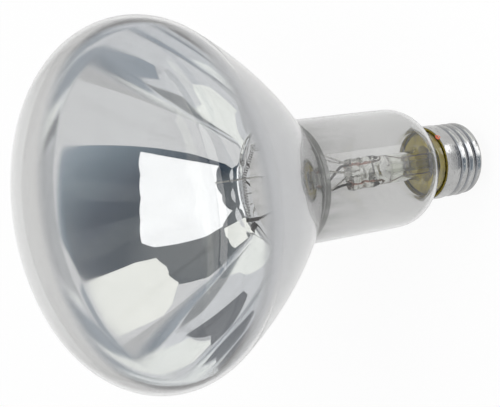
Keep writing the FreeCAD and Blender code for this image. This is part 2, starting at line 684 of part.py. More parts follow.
def copper_wire(label, across, corners, turn_to="0"):
    """Copper wire from the pinch down through corners (reach, height) in one upright plane."""
    body = new_body(object_name(label))
    body.setExpression("Placement.Base.x", across)
    body.setExpression("Placement.Rotation.Angle", turn_to)
    path = Profile(body, object_name(label) + "Path")
    bent_path(path, corners, "Sizes.outer_bend")
    section = Profile(body, object_name(label) + "Section", "XY_Plane")
    section.circle(corners[0][0], "0", "Sizes.outer_radius")
    section.sketch.setExpression("AttachmentOffset.Base.z", corners[0][1])
    return finish(pipe_along(body, object_name(label) + "Pipe", section, path), label)


copper_top = "Sizes.pinch_low + Sizes.seal_margin"
centre_lead = copper_wire(
    "outer_lead_centre", "0",
    [(centre_side, copper_top), (centre_side, "Sizes.exhaust_low"),
     ("0", "Sizes.eyelet_top + Sizes.outer_bend"), ("0", "Sizes.contact_plane")])

# The side lead's plane runs from its seat in the pinch to the gap between the stub and the skirt
gap_middle = "((Sizes.stub_radius + Sizes.skirt_radius - Sizes.sheet_thickness) / 2)"
gap_heading, gap_reach = heading_between((side, "0"), ring_place("Sizes.weld_angle * 1deg", gap_middle))
turn_low = "((Sizes.foot_height + Sizes.skirt_low) / 2)"
side_lead = copper_wire(
    "outer_lead_side", side,
    [("0", copper_top), ("0", turn_low), (gap_reach, turn_low),
     (gap_reach, "Sizes.cap_rim + Sizes.outer_radius")],
    gap_heading)

# Cap shell: one drawn aluminium sheet with a plain skirt, a rolled screw thread and a turned-in end
shell = new_body("Shell")
shell_section = Profile(shell, "ShellSection")
step_low = "(Sizes.skirt_low - Sizes.skirt_radius + Sizes.thread_crest)"
bore_radius = "Sizes.thread_crest - Sizes.thread_depth - Sizes.sheet_thickness"
end_inside = "Sizes.cap_end + Sizes.sheet_thickness"
end_round = [(f"Sizes.thread_crest - Sizes.cap_corner * (1 - sin({turned} * 1deg))",
              f"Sizes.cap_end + Sizes.cap_corner * (1 - cos({turned} * 1deg))") for turned in (0, 30, 60, 90)]
shell_section.polygon([
    ("Sizes.cap_opening", "Sizes.cap_end"),
    *end_round,
    ("Sizes.thread_crest", step_low),
    ("Sizes.skirt_radius", "Sizes.skirt_low"),
    ("Sizes.skirt_radius", "Sizes.cap_rim"),
    ("Sizes.skirt_radius - Sizes.sheet_thickness", "Sizes.cap_rim"),
    ("Sizes.skirt_radius - Sizes.sheet_thickness", "Sizes.skirt_low"),
    (bore_radius, f"{step_low} - Sizes.sheet_thickness"),
    (bore_radius, "Sizes.cap_end + Sizes.cap_corner / 2"),
    (f"{bore_radius} - Sizes.cap_corner / 2 + Sizes.sheet_thickness", end_inside),
    ("Sizes.cap_opening", end_inside)])
turn(shell, "ShellSheet", shell_section)


def groove_section(name, height):
    """Round-bottomed groove of the screw thread, in six flats, open to the outside."""
    steps = range(-3, 4)
    shares = [(1 - math.cos(math.pi * step / 3)) / 2 for step in steps]
    half = "Sizes.groove_width / 2"
    root_formula = "Sizes.thread_crest - Sizes.thread_depth"
    corners = [(f"{root_formula} + {share:.2f} * Sizes.thread_depth", f"{height} + {step} / 3 * {half}")
               for step, share in zip(steps, shares)]
    clear = "Sizes.thread_crest + Sizes.thread_depth"
    corners += [(clear, f"{height} + {half}"), (clear, f"{height} - {half}")]
    p = Profile(shell, name)
    p.polygon(corners)
    return p


def groove(name, section, turns, growth="0"):
    before = shell.Shape.Volume
    cut = shell.newObject("PartDesign::SubtractiveHelix", name)
    cut.Profile = section.sketch
    cut.ReferenceAxis = (origin_part(shell, "Z_Axis"), [""])
    cut.Mode = "height-turns-growth" if growth != "0" else "pitch-turns-angle"
    cut.setExpression("Turns", turns)
    if growth != "0":
        cut.setExpression("Height", f"Sizes.thread_pitch * {turns}")
        cut.setExpression("Growth", growth)
    else:
        cut.setExpression("Pitch", "Sizes.thread_pitch")
    doc.recompute()
    if not cut.Shape.Volume < before:
        raise RuntimeError(f"{name} cuts nothing")


# The groove climbs like a right-hand screw, then runs out of the sheet over a quarter of a turn
RUN_OUT_TURNS = 0.25
groove("Thread", groove_section("ThreadSection", "Sizes.thread_low"), "Sizes.thread_turns")
run_out = groove_section("RunOutSection", "Sizes.thread_low + Sizes.thread_turns * Sizes.thread_pitch")
run_out.sketch.AttachmentOffset = FreeCAD.Placement(FreeCAD.Vector(), upright)
run_out.sketch.setExpression("AttachmentOffset.Rotation.Angle", "Sizes.thread_turns * 360deg")
groove("ThreadRunOut", run_out, str(RUN_OUT_TURNS), f"Sizes.thread_depth / {RUN_OUT_TURNS}")
finish(shell, "cap_shell")


def turned(name, label, corners):
    """Piece turned from a closed outline of straight lines."""
    body = new_body(name)
    outline = Profile(body, name + "Section")
    outline.polygon(corners)
    turn(body, name + "Turned", outline)
    return finish(body, label) if label else body


# Black glass insulator, moulded into the shell's end round the eyelet
eyelet_outside = "Sizes.eyelet_radius + Sizes.contact_sheet"
lip = f"{bore_radius} - Sizes.cap_corner / 2"
turned("Insulator", "cap_insulator", [
    (eyelet_outside, "Sizes.insulator_end"),
    ("Sizes.insulator_nose", "Sizes.insulator_end"),
    ("Sizes.cap_opening", "Sizes.cap_end"),
    ("Sizes.cap_opening", end_inside),
    (lip, end_inside),
    (lip, "Sizes.insulator_top"),
    ("Sizes.insulator_nose", "Sizes.eyelet_top + Sizes.sheet_thickness"),
    (eyelet_outside, "Sizes.eyelet_top + Sizes.sheet_thickness")])

# Brass centre contact: a dished plate whose middle is drawn up into an eyelet
plate_top = "Sizes.contact_plane + Sizes.contact_sheet"
turned("Contact", "centre_contact", [
    ("Sizes.eyelet_radius", "Sizes.contact_plane"),
    ("Sizes.contact_radius - Sizes.insulator_end + Sizes.contact_plane", "Sizes.contact_plane"),
    ("Sizes.contact_radius", "Sizes.insulator_end - Sizes.contact_sheet"),
    ("Sizes.contact_radius", "Sizes.insulator_end"),
    ("Sizes.contact_radius - Sizes.contact_sheet", "Sizes.insulator_end"),
    ("Sizes.contact_radius - Sizes.insulator_end + Sizes.contact_plane - Sizes.contact_sheet / 2", plate_top),
    (eyelet_outside, plate_top),
    (eyelet_outside, "Sizes.eyelet_top"),
    ("Sizes.eyelet_radius", "Sizes.eyelet_top")])

# Solder that fills the eyelet and stands as a low dome on the plate, round the end of the centre lead
solder = new_body("Solder")
dome = Profile(solder, "SolderSection")
dome_height, dome_reach = size("Sizes.contact_plane"), size("Sizes.solder_radius")
dome_radius = (dome_height**2 + dome_reach**2) / (2 * dome_height)
fill = size("Sizes.eyelet_radius")
fill_top = size("Sizes.eyelet_top / 2")
bow = dome.arc((0, dome_radius), (0, 0), (dome_reach, dome_height))
ledge = dome.line((dome_reach, dome_height), (fill, dome_height))
fill_wall = dome.line((fill, dome_height), (fill, fill_top))
fill_end = dome.line((fill, fill_top), (0, fill_top))
fill_axis = dome.line((0, fill_top), (0, 0))
for item, leaving, following, entering in (
        (bow, END, ledge, START), (ledge, END, fill_wall, START), (fill_wall, END, fill_end, START),
        (fill_end, END, fill_axis, START), (fill_axis, END, bow, START)):
    dome.join(item, leaving, following, entering)
dome.rule("PointOnObject", bow, CENTRE, -2)
dome.rule("Coincident", bow, START, -1, 1)
dome.place(bow, END, "Sizes.solder_radius", "Sizes.contact_plane")
dome.place(fill_wall, START, "Sizes.eyelet_radius", "Sizes.contact_plane")
dome.place(fill_wall, END, "Sizes.eyelet_radius", "Sizes.eyelet_top / 2")
dome.place(fill_end, END, "0", "Sizes.eyelet_top / 2")
turn(solder, "SolderDome", dome)

# Basing cement between the stub, the flare's rim and the cap
stub_inside = "(Sizes.stub_radius - Sizes.glass_wall - Sizes.stem_wall)"
skirt_inside = "Sizes.skirt_radius - Sizes.sheet_thickness"
flare_underside = "Sizes.flare_height - Sizes.stem_wall"
cement = turned("Cement", None, [
    (skirt_inside, "Sizes.cap_rim - Sizes.cement_gap"),
    ("Sizes.stub_radius", "Sizes.cap_rim - Sizes.cement_gap"),
    ("Sizes.stub_radius", "Sizes.foot_height"),
    (stub_inside, "Sizes.foot_height"),
    (stub_inside, flare_underside),
    ("Sizes.cement_bore", flare_underside),
    ("Sizes.cement_bore", "Sizes.cement_low"),
    (bore_radius, "Sizes.cement_low"),
    (bore_radius, f"{step_low} - Sizes.sheet_thickness"),
    (skirt_inside, "Sizes.skirt_low")])

# Weld of the side lead, a bead that sits over the rim
weld_bead = doc.addObject("Part::Sphere", "WeldBead")
weld_bead.setExpression("Radius", "Sizes.weld_radius")
weld_reach = "(Sizes.skirt_radius - Sizes.sheet_thickness)"
weld_bead.setExpression("Placement.Base.x", f"{weld_reach} * cos(Sizes.weld_angle * 1deg)")
weld_bead.setExpression("Placement.Base.y", f"{weld_reach} * sin(Sizes.weld_angle * 1deg)")
weld_bead.setExpression("Placement.Base.z", "Sizes.cap_rim")
weld_room = doc.addObject("Part::Cylinder", "WeldRoom")
weld_room.setExpression("Radius", "Sizes.skirt_radius")
weld_room.setExpression("Height", "Sizes.cap_rim")
weld_neck = doc.addObject("Part::Cylinder", "WeldNeckRoom")
weld_neck.setExpression("Radius", "Sizes.stub_radius")
weld_neck.setExpression("Height", "2 * Sizes.cap_rim")


def less(name, label, base, tool):
    """What is left of a base form once a tool form is taken out of it."""
    cut = doc.addObject("Part::Cut", name)
    cut.Base = base
    cut.Tool = tool
    doc.recompute()
    return finish(cut, label) if label else cut


weld_rim = less("WeldOverRim", None, weld_bead, weld_room)
weld_outside = less("WeldOutside", None, weld_rim, weld_neck)
less("SideWeld", "side_weld", weld_outside, side_lead)
less("BasingCement", "basing_cement", cement, side_lead)
less("CentreSolder", "centre_solder", solder, centre_lead)

doc.recompute()
for thing in doc.Objects:
    if "Invalid" in thing.State or "Error" in thing.State:
        raise RuntimeError(f"{thing.Name} failed: {thing.State}")
for piece in pieces:
    if piece.Shape.isNull() or not piece.Shape.isValid() or not piece.Shape.Solids:
        raise RuntimeError(f"{piece.Label} has no valid solid")

os.makedirs("parts", exist_ok=True)
for piece in pieces:
    piece.Shape.exportStep(f"parts/{piece.Label}.step")
    print(f"{piece.Label}: {len(piece.Shape.Solids)} solid, {piece.Shape.Volume:.2f} mm3")
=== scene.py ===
"""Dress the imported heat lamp: clear glass, mirrored reflector, coiled filament and rolled screw cap."""

import math

import bmesh
import bpy
from bpy.props import FloatProperty, FloatVectorProperty, IntProperty, PointerProperty
from mathutils import Matrix, Vector, noise


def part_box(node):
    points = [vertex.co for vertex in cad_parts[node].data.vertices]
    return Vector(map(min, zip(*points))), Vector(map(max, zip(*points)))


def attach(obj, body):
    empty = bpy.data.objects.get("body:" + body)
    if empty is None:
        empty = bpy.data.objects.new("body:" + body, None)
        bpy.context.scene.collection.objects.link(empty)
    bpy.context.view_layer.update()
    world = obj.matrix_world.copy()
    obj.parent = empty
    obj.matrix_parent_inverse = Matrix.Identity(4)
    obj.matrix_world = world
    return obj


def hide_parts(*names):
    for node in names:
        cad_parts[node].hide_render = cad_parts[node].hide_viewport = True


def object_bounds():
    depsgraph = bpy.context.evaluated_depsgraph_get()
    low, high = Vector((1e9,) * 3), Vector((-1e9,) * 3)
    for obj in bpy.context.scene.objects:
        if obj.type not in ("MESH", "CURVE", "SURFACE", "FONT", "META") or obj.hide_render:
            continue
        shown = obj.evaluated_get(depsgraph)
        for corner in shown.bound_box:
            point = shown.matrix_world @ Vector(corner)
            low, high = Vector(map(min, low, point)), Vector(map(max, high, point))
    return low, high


bl_info = {
    "name": "Infrared reflector lamp",
    "version": (1, 0, 0),
    "blender": (4, 5, 0),
    "location": "View3D > Sidebar > Heat Lamp",
    "description": "Builds the glass, mirror, filament and cap of a heat lamp round its packed frame",
    "category": "Object",
}

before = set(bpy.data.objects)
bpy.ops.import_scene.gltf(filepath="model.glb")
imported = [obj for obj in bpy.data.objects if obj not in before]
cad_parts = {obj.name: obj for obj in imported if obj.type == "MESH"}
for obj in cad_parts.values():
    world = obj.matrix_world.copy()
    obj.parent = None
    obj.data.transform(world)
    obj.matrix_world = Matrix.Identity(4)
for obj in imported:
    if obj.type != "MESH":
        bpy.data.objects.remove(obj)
CAD_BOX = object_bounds()

MM = 0.001
TURN = 2 * math.pi

GLASS_LOW, GLASS_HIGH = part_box("glass_envelope")
MIRROR_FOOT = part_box("mirror_coating")[0].z
STEM_LOW, STEM_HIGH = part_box("stem_glass")
EXHAUST_LOW, EXHAUST_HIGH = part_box("exhaust_tube")
RING_LOW, RING_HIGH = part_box("filament")
SHELL_LOW, SHELL_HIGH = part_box("cap_shell")
INSULATOR_LOW, INSULATOR_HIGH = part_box("cap_insulator")
CONTACT_LOW, CONTACT_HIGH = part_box("centre_contact")
SOLDER_LOW, SOLDER_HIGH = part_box("centre_solder")
CEMENT_LOW, CEMENT_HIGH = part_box("basing_cement")
WELD_LOW, WELD_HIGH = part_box("side_weld")

# A point nearer the axis than this lies on it
ON_AXIS = 1e-7
# Middle of the studio, whose boards hang round the mirror
BOARD_CENTRE = Vector((0.0, 0.0, 130 * MM))
# Longest reflected ray that still shows a low card
CARD_REACH = 62 * MM
CREAM = (1.6, 1.6, 1.5)
PALE_BLUE = (0.50, 0.56, 0.62)


def length(name, description, millimetres):
    """Setting for a length, whose default is given in millimetres."""
    return FloatProperty(name=name, description=description, default=millimetres * MM, precision=5,
                         unit="LENGTH")


def angle(name, description, degrees):
    return FloatProperty(name=name, description=description, default=math.radians(degrees), subtype="ANGLE")


def share(name, description, number, highest=1.0):
    return FloatProperty(name=name, description=description, default=number, min=0.0, max=highest)


def count(name, description, number):
    return IntProperty(name=name, description=description, default=number, min=3)


def colour(name, description, red, green, blue):
    return FloatVectorProperty(name=name, description=description, default=(red, green, blue), size=3,
                               min=0.0, max=1.0, subtype="COLOR")


class BulbSettings(bpy.types.PropertyGroup):
    """Blown glass bulb and the mirror on the inside of its reflector."""

    face_radius: length("Face radius", "Radius of the domed face", 99.3)
    corner_radius: length("Corner radius", "Round between the face and the reflector", 19.6)
    reflector_radius: length("Reflector radius", "Curve of the reflector, seen in section", 197)
    neck_fillet: length("Neck fillet", "Hollow round where the reflector meets the neck", 3.5)
    neck_top_radius: length("Upper neck", "Radius of the neck beside the reflector", 21.8)
    neck_top_height: length("Neck top", "Height at which the neck begins", 90)
    neck_low_radius: length("Lower neck", "Radius of the neck beside the shoulder", 21.2)
    shoulder_height: length("Shoulder", "Height at which the shoulder begins", 43.1)
    shoulder_radius: length("Shoulder round", "Round of the shoulder", 12.7)
    root_radius: length("Root round", "Hollow round between the shoulder and the stub", 4.3)
    stub_radius: length("Stub", "Radius of the stub inside the cap", 12.5)
    wall: length("Wall", "Thickness of the glass", 0.95)
    mirror_room: length("Mirror room", "Air kept between the glass and the drawn mirror", 0.03)
    coat_top: length("Coat top", "Height at which the mirror has thinned out", 153)
    thin_coat: length("Thin coat", "Height over which the mirror thins out", 7)
    soft_coat: length("Soft coat", "Height below the coat's top from which the mirror grows softer", 24)
    coat_bands: length("Coat bands", "Height over which the mirror's lower end is banded", 15)
    coat: length("Coat", "Drawn thickness of the mirror", 0.1)
    neck_end: length("Neck end", "Height over which the neck's grey ends on the reflector", 10)
    # Painted shade: the glass is greyed over this height below the neck's top; its wall is no thicker there
    shaded_neck_top: length("Thick neck", "Height of the thicker glass at the top of the neck", 34)
    # Painted shade in streaks at the joint with the reflector, over these heights
    joint: length("Joint", "Streaks of the joint, below the neck's top", 11)
    joint_end: length("Joint end", "Streaks of the joint, above the neck's top", 3)
    segments: count("Segments", "Faces round the bulb", 192)
    tint: colour("Glass tint", "Colour that light takes in the glass", 0.755, 0.755, 0.75)
    mirror_tint: colour("Mirror", "Colour of the mirror seen from the front", 0.925, 0.94, 0.96)
    back_tint: colour("Mirror back", "Mirror seen through the reflector's glass", 0.82, 0.835, 0.87)
    dark_band: colour("Dark band", "Darker bands at the mirror's lower end", 0.16, 0.165, 0.14)
    light_band: colour("Light band", "Lighter bands at the mirror's lower end", 0.55, 0.56, 0.54)


class StemSettings(bpy.types.PropertyGroup):
    """Pressed stem, exhaust tube and wires."""

    tube_radius: length("Tube", "Outside radius of the flare tube", 5.2)
    wall: length("Wall", "Wall of the flare tube", 0.8)
    flare_radius: length("Flare round", "Round of the flare", 5.5)
    flare_height: length("Flare height", "Upper side of the flare's rim", 25.5)
    tube_top: length("Bore end", "Upper end of the tube's bore", 45)
    press_low: length("Press begins", "Height at which the pressing begins", 46.5)
    pinch_low: length("Pinch begins", "Height at which the pinch is flat", 51)
    pinch_width: length("Pinch width", "Pinch, across the lead wires", 11)
    pinch_thickness: length("Pinch thickness", "Pinch, between its flats", 4.6)
    press_depth: length("Press mark", "Depth of the jaws' marks in the pinch", 0.75)
    exhaust_wall: length("Exhaust wall", "Wall of the exhaust tube", 0.6)
    tint: colour("Stem glass", "Colour that light takes in the stem", 0.93, 0.94, 0.90)
    # Painted dark edges of the crumpled pinch, which real glass shows by refraction
    painted_dark_vein: colour("Veins", "Olive veins in the pinch", 0.12, 0.11, 0.05)
    nickel: colour("Nickel", "Oxidised nickel of the lead wires", 0.10, 0.095, 0.09)
    molybdenum: colour("Molybdenum", "Support wires", 0.78, 0.77, 0.74)
    sleeve: colour("Sealed copper", "Copper skin of the seal wires", 0.62, 0.34, 0.28)
    copper: colour("Copper lead", "Tarnished copper lead wires", 0.23, 0.15, 0.11)


class FilamentSettings(bpy.types.PropertyGroup):
    """Coil that hangs in straight lengths from hook to hook."""

    clamp_angle: angle("Clamp angle", "Where the centre lead clamps the coil's first end", 123)
    clamp_reach: length("Clamp reach", "Clamp to the axis", 19)
    clamp_room: length("Clamp room", "Middle of the clamp to the coil's first end", 0.65)
    ring_radius: length("Ring radius", "Axis to the coil's middle at a hook", 15.6)
    hook_step: angle("Hook step", "Turn from one hook to the next", 50)
    hooks: count("Hooks", "Hooks that the coil passes", 6)
    bend: length("Bend", "Bend of the coil at a hook", 2.5)
    last_length: length("Last length", "Coil that stands past the last hook", 2.5)
    wire_radius: length("Wire", "Radius of the coiled wire", 0.13)
    turn_pitch: length("Turn pitch", "Distance between two turns of the coil", 0.98)
    steps: count("Steps", "Points in one turn of the coil", 14)
    sides: count("Sides", "Faces round the wire", 6)
    tungsten: colour("Tungsten", "Drawn tungsten wire", 0.22, 0.21, 0.20)


class CapSettings(bpy.types.PropertyGroup):
    """Screw cap with its insulator, contact, cement and solder."""

    skirt_low: length("Skirt", "Lower end of the plain skirt", 20.2)
    skirt_radius: length("Skirt radius", "Outside radius of the plain skirt", 13.35)
    crest: length("Crest", "Crest of the thread", 13.1)
    depth: length("Depth", "Crest to root", 0.9)
    pitch: length("Pitch", "One turn of the thread", 3.629)
    thread_low: length("Thread start", "Middle of the groove where it begins", 7.71)
    turns: share("Turns", "Full turns of the groove", 3.0, highest=6.0)
    run_in: share("Run-in", "Turn over which the groove begins", 0.08)
    run_out: share("Run-out", "Turn over which the groove ends", 0.25)
    groove: length("Groove", "Width of the groove", 3.45)
    corner: length("Corner", "Round between the thread and the cap's end", 2.2)
    opening: length("Opening", "Opening in the shell's end, as a radius", 9.6)
    sheet: length("Sheet", "Aluminium sheet", 0.3)
    nose: length("Nose", "Small end of the insulator, as a radius", 5.6)
    flutes: count("Flutes", "Moulded flutes on the insulator's cone", 12)
    flute_depth: length("Flute depth", "Depth of the moulded flutes", 0.16)
    eyelet: length("Eyelet", "Hole of the eyelet", 0.9)
    contact: length("Contact", "Outside radius of the contact plate", 5.2)
    contact_sheet: length("Contact sheet", "Brass sheet", 0.4)
    cement_bore: length("Cement bore", "Open middle of the cement ring", 6.5)
    aluminium: colour("Aluminium", "Rolled aluminium", 0.47, 0.47, 0.465)
    # Painted shade for the thread's grooves, a bluish dark where little light reaches
    painted_groove_shade: colour("Groove tint", "Aluminium in the thread's groove", 0.17, 0.185, 0.21)
    brass: colour("Brass", "Stamped brass", 0.72, 0.52, 0.22)
    solder: colour("Solder", "Dull solder", 0.52, 0.52, 0.50)
    black_glass: colour("Insulator", "Black glass", 0.012, 0.012, 0.014)
    # Raised well above the cement's own colour, as painted light that makes up for the shade inside the neck
    cement: colour("Cement", "Baked basing cement", 0.70, 0.53, 0.02)
    weld: colour("Weld", "Copper-coloured weld on the rim", 0.66, 0.17, 0.09)


class StageSettings(bpy.types.PropertyGroup):
    """Floor, light and camera."""

    aim: FloatVectorProperty(name="Aim", description="Point that the camera looks at", size=3,
                             default=(-4.55 * MM, 0.0, 106.9 * MM), subtype="TRANSLATION")
    distance: length("Distance", "From the aim to the camera", 775.6)
    elevation: angle("Elevation", "Height of the camera above the horizon", 38.66)
    roll: angle("Roll", "Turn of the camera about its line of sight", 98.93)
    lens: FloatProperty(name="Lens", description="Focal length for a 36 mm sensor", default=165.2)
    sky: share("Sky", "World strength for diffuse light", 0.72, highest=2.0)
    key: share("Key", "Power of the large soft light, in watts", 14.0, highest=200.0)
    floor: colour("Floor", "Colour of the floor", 0.95, 0.95, 0.95)
    white: share("White", "Share of the floor's look that is plain white", 0.92)


def by_maths(operation, swapped=False):
    """Method for one of Channel's operators."""
    def method(self, other):
        terms = (other, self) if swapped else (self, other)
        return self.nodes.maths(operation, *terms)

    return method


class Channel:
    """Number that varies over a surface or along a curve; arithmetic on it adds Math nodes."""

    def __init__(self, nodes, source):
        self.nodes = nodes
        self.source = source

    __add__ = __radd__ = by_maths("ADD")
    __sub__ = by_maths("SUBTRACT")
    __rsub__ = by_maths("SUBTRACT", swapped=True)
    __mul__ = __rmul__ = by_maths("MULTIPLY")
    __truediv__ = by_maths("DIVIDE")
    __pow__ = by_maths("POWER")
    most = by_maths("MAXIMUM")

    def through(self, operation):
        return self.nodes.maths(operation, self)

    def band(self, low, high):
        """0 below low, 1 above high and smooth between them."""
        return self.nodes.channel("ShaderNodeMapRange", {"Value": self, "From Min": low, "From Max": high},
                                  interpolation_type="SMOOTHSTEP")


class Nodes:
    """Node tree with one output, whose nodes are added by a single method."""

    def __init__(self, tree, output):
        self.tree = tree
        self.tree.nodes.clear()
        self.output = self.node(output)

    def node(self, kind, sockets=None, **settings):
        """Add a node, set its settings and then set or link its sockets."""
        made = self.tree.nodes.new(kind)
        for name, value in settings.items():
            setattr(made, name, value)
        for name, value in (sockets or {}).items():
            self.feed(made.inputs[name], value)
        return made

    def feed(self, target, value):
        """Set or link a socket; a node stands for its first output, and a colour comes as three numbers."""
        if isinstance(value, Channel):
            value = value.source
        if isinstance(value, bpy.types.Node):
            value = value.outputs[0]
        if isinstance(value, bpy.types.NodeSocket):
            self.tree.links.new(value, target)
        else:
            target.default_value = (*value, 1.0) if target.type == "RGBA" else value

    def channel(self, kind, sockets=None, **settings):
        return Channel(self, self.node(kind, sockets, **settings))

    def maths(self, operation, *terms):
        return self.channel("ShaderNodeMath", dict(enumerate(terms)), operation=operation)

    def vectors(self, operation, first, second):
        return self.node("ShaderNodeVectorMath", {0: first, 1: second}, operation=operation)

    def result(self, value):
        self.feed(self.output.inputs[0], value)

    def mixed_result(self, share, first, second):
        """Show two shaders, and the second by its share."""
        self.result(self.node("ShaderNodeMixShader", {0: share, 1: first, 2: second}))

    def looked_at(self):
        """1 for a ray from the camera, a gloss or a clear material, and 0 for light that spreads."""
        path = self.node("ShaderNodeLightPath").outputs
        kinds = [Channel(self, path[f"Is {kind} Ray"]) for kind in ("Camera", "Glossy", "Transmission")]
        return kinds[0].most(kinds[1]).most(kinds[2])


class Look(Nodes):
    """Nodes of a material that reads Object coordinates."""

    def __init__(self, name):
        self.material = bpy.data.materials.new(name)
        self.material.use_nodes = True
        super().__init__(self.material.node_tree, "ShaderNodeOutputMaterial")
        self.place = self.node("ShaderNodeTexCoord").outputs["Object"]

    def axes(self):
        made = self.node("ShaderNodeSeparateXYZ", {0: self.place})
        return [Channel(self, socket) for socket in made.outputs]

    def height(self):
        return self.axes()[2]

    def reach(self):
        """Distance from the lamp's axis."""
        x, y, _ = self.axes()
        return (x * x + y * y) ** 0.5

    def noise(self, scale, detail, roughness, finer=None, distortion=0.0):
        """Clouds, which may be finer along each axis by a factor."""
        place = self.vectors("MULTIPLY", self.place, finer) if finer else self.place
        return self.channel("ShaderNodeTexNoise", {
            "Vector": place, "Scale": scale, "Detail": detail, "Roughness": roughness,
            "Distortion": distortion})

    def cells(self, scale):
        """Distance to the nearest of some scattered points."""
        return self.channel("ShaderNodeTexVoronoi", {"Vector": self.place, "Scale": scale})

    def blend(self, factor, first, second):
        """Colour between two others."""
        return self.node("ShaderNodeMix", {0: factor, 6: first, 7: second}, data_type="RGBA").outputs[2]


class Finish(Look):
    """Material with one Principled shader."""

    def __init__(self, name, **constants):
        super().__init__(name)
        self.shader = self.node("ShaderNodeBsdfPrincipled")
        self.set(**constants)
        self.result(self.shader)

    def set(self, **values):
        """Feed the shader's sockets; an underscore stands for the space in a socket's name."""
        for name, value in values.items():
            self.feed(self.shader.inputs[name.replace("_", " ")], value)

    def relief(self, height, distance, strength):
        self.set(Normal=self.node("ShaderNodeBump", {
            "Height": height, "Distance": distance, "Strength": strength}))

    def clear_to_shadows(self):
        """Let light through to what lies behind the glass."""
        clear = self.node("ShaderNodeBsdfTransparent", {"Color": (0.93, 0.94, 0.94)})
        shadow = self.node("ShaderNodeLightPath").outputs["Is Shadow Ray"]
        self.mixed_result(shadow, self.shader, clear)


def tinted(tint, factor):
    return tuple(channel * factor for channel in tint)


def bulb_glass_finish(bulb):
    """Clear glass with faint smudges; the neck is greyed as painted shade, most of all at its top beside the
    reflector, with streaks along it.
    """
    finish = Finish("blown clear glass", IOR=1.5, Transmission_Weight=1.0)
    top = bulb.neck_top_height
    up = finish.height()
    wave = finish.noise(9.0, 2.0, 0.4, (1.0, 1.0, 0.25))
    smudge = finish.noise(38.0, 5.0, 0.6).band(0.58, 0.78)
    streak = finish.noise(260.0, 3.0, 0.6, (1.0, 1.0, 0.05)).band(0.3, 0.7)
    # Painted shade: the neck's glass is greyed, more towards its top and in streaks at its joint with the
    # reflector; the wall is no thicker there
    neck = 1.0 - up.band(top, top + bulb.neck_end)
    thick = up.band(top - bulb.shaded_neck_top, top) * (0.45 + streak * 0.55)
    joint = up.band(top - bulb.joint, top + bulb.joint_end) * streak
    grey = neck * (0.22 + thick * 0.5 + joint * 0.8)
    tint = finish.blend(smudge * 0.5, bulb.tint, tinted(bulb.tint, 0.97))
    finish.set(Base_Color=finish.blend(grey, tint, tinted(bulb.tint, 0.7)), Roughness=smudge * 0.035)
    finish.relief(wave, 0.6 * MM, 0.35)
    finish.clear_to_shadows()
    return finish.material


def stem_glass_finish(stem):
    """Clear tube; the pressed end is crumpled by the jaws, with thin olive-dark veins painted in for the dark
    edges that crumpled glass shows by refraction.
    """
    finish = Finish("pressed stem glass", IOR=1.52, Transmission_Weight=1.0)
    pressed = finish.height().band(stem.press_low, stem.pinch_low)
    ripple = finish.noise(300.0, 2.0, 0.5)
    middle = finish.noise(250.0, 2.0, 0.5, distortion=1.2) - 0.5
    # Painted dark edges along the pinch's creases
    painted_dark_vein = (1.0 - middle.through("ABSOLUTE").band(0.004, 0.03)) * pressed
    finish.set(Base_Color=finish.blend(painted_dark_vein * 0.9, stem.tint, stem.painted_dark_vein), Roughness=pressed * 0.02)
    finish.relief(ripple * pressed, 0.8 * MM, 0.8)
    finish.clear_to_shadows()
    return finish.material


def mirror_finish(bulb):
    """Front of the coat, which grows softer towards the lamp's rim and thins out there."""
    finish = Finish("vapour-coated mirror", Metallic=1.0)
    thin_from = bulb.coat_top - bulb.thin_coat
    up = finish.height()
    thin = up.band(thin_from, bulb.coat_top)
    soft = up.band(bulb.coat_top - bulb.soft_coat, thin_from)
    haze = finish.noise(60.0, 4.0, 0.6).band(0.45, 0.8)
    finish.set(Base_Color=finish.blend(haze, bulb.mirror_tint, tinted(bulb.mirror_tint, 0.95)),
               Roughness=haze * 0.015 + soft * 0.11 + thin * 0.1 + 0.01, Alpha=1.0 - thin)
    finish.relief(finish.noise(22.0, 2.0, 0.5), 0.6 * MM, 0.15)
    return finish.material


def mirror_back_finish(bulb):
    """Back of the coat: even and pale, with olive-grey bands where it ends on the neck."""
    finish = Finish("back of the mirror", Metallic=1.0)
    cloud = finish.noise(16.0, 4.0, 0.55)
    up = finish.height()
    thin = up.band(bulb.coat_top - bulb.thin_coat, bulb.coat_top)
    low = 1.0 - up.band(MIRROR_FOOT + bulb.coat_bands * 0.55, MIRROR_FOOT + bulb.coat_bands)
    rings = finish.noise(90.0, 3.0, 0.6, (0.12, 0.12, 5.0)).band(0.36, 0.6)
    pale = finish.blend(cloud, tinted(bulb.back_tint, 0.96), bulb.back_tint)
    banded = finish.blend(rings, bulb.dark_band, bulb.light_band)
    finish.set(Base_Color=finish.blend(low * 0.9, pale, banded), Roughness=cloud * 0.1 + 0.16,
               Alpha=1.0 - thin)
    return finish.material


def wire_finish(name, tint, dark, roughness):
    """Drawn wire, with patches along it that are darker by a factor."""
    finish = Finish(name, Metallic=1.0)
    patch = finish.noise(420.0, 4.0, 0.6)
    finish.set(Base_Color=finish.blend(patch.band(0.35, 0.7), tinted(tint, dark), tint),
               Roughness=patch * 0.2 + roughness)
    finish.relief(finish.noise(2600.0, 2.0, 0.5, (1.0, 1.0, 0.12)), 0.03 * MM, 0.5)
    return finish.material


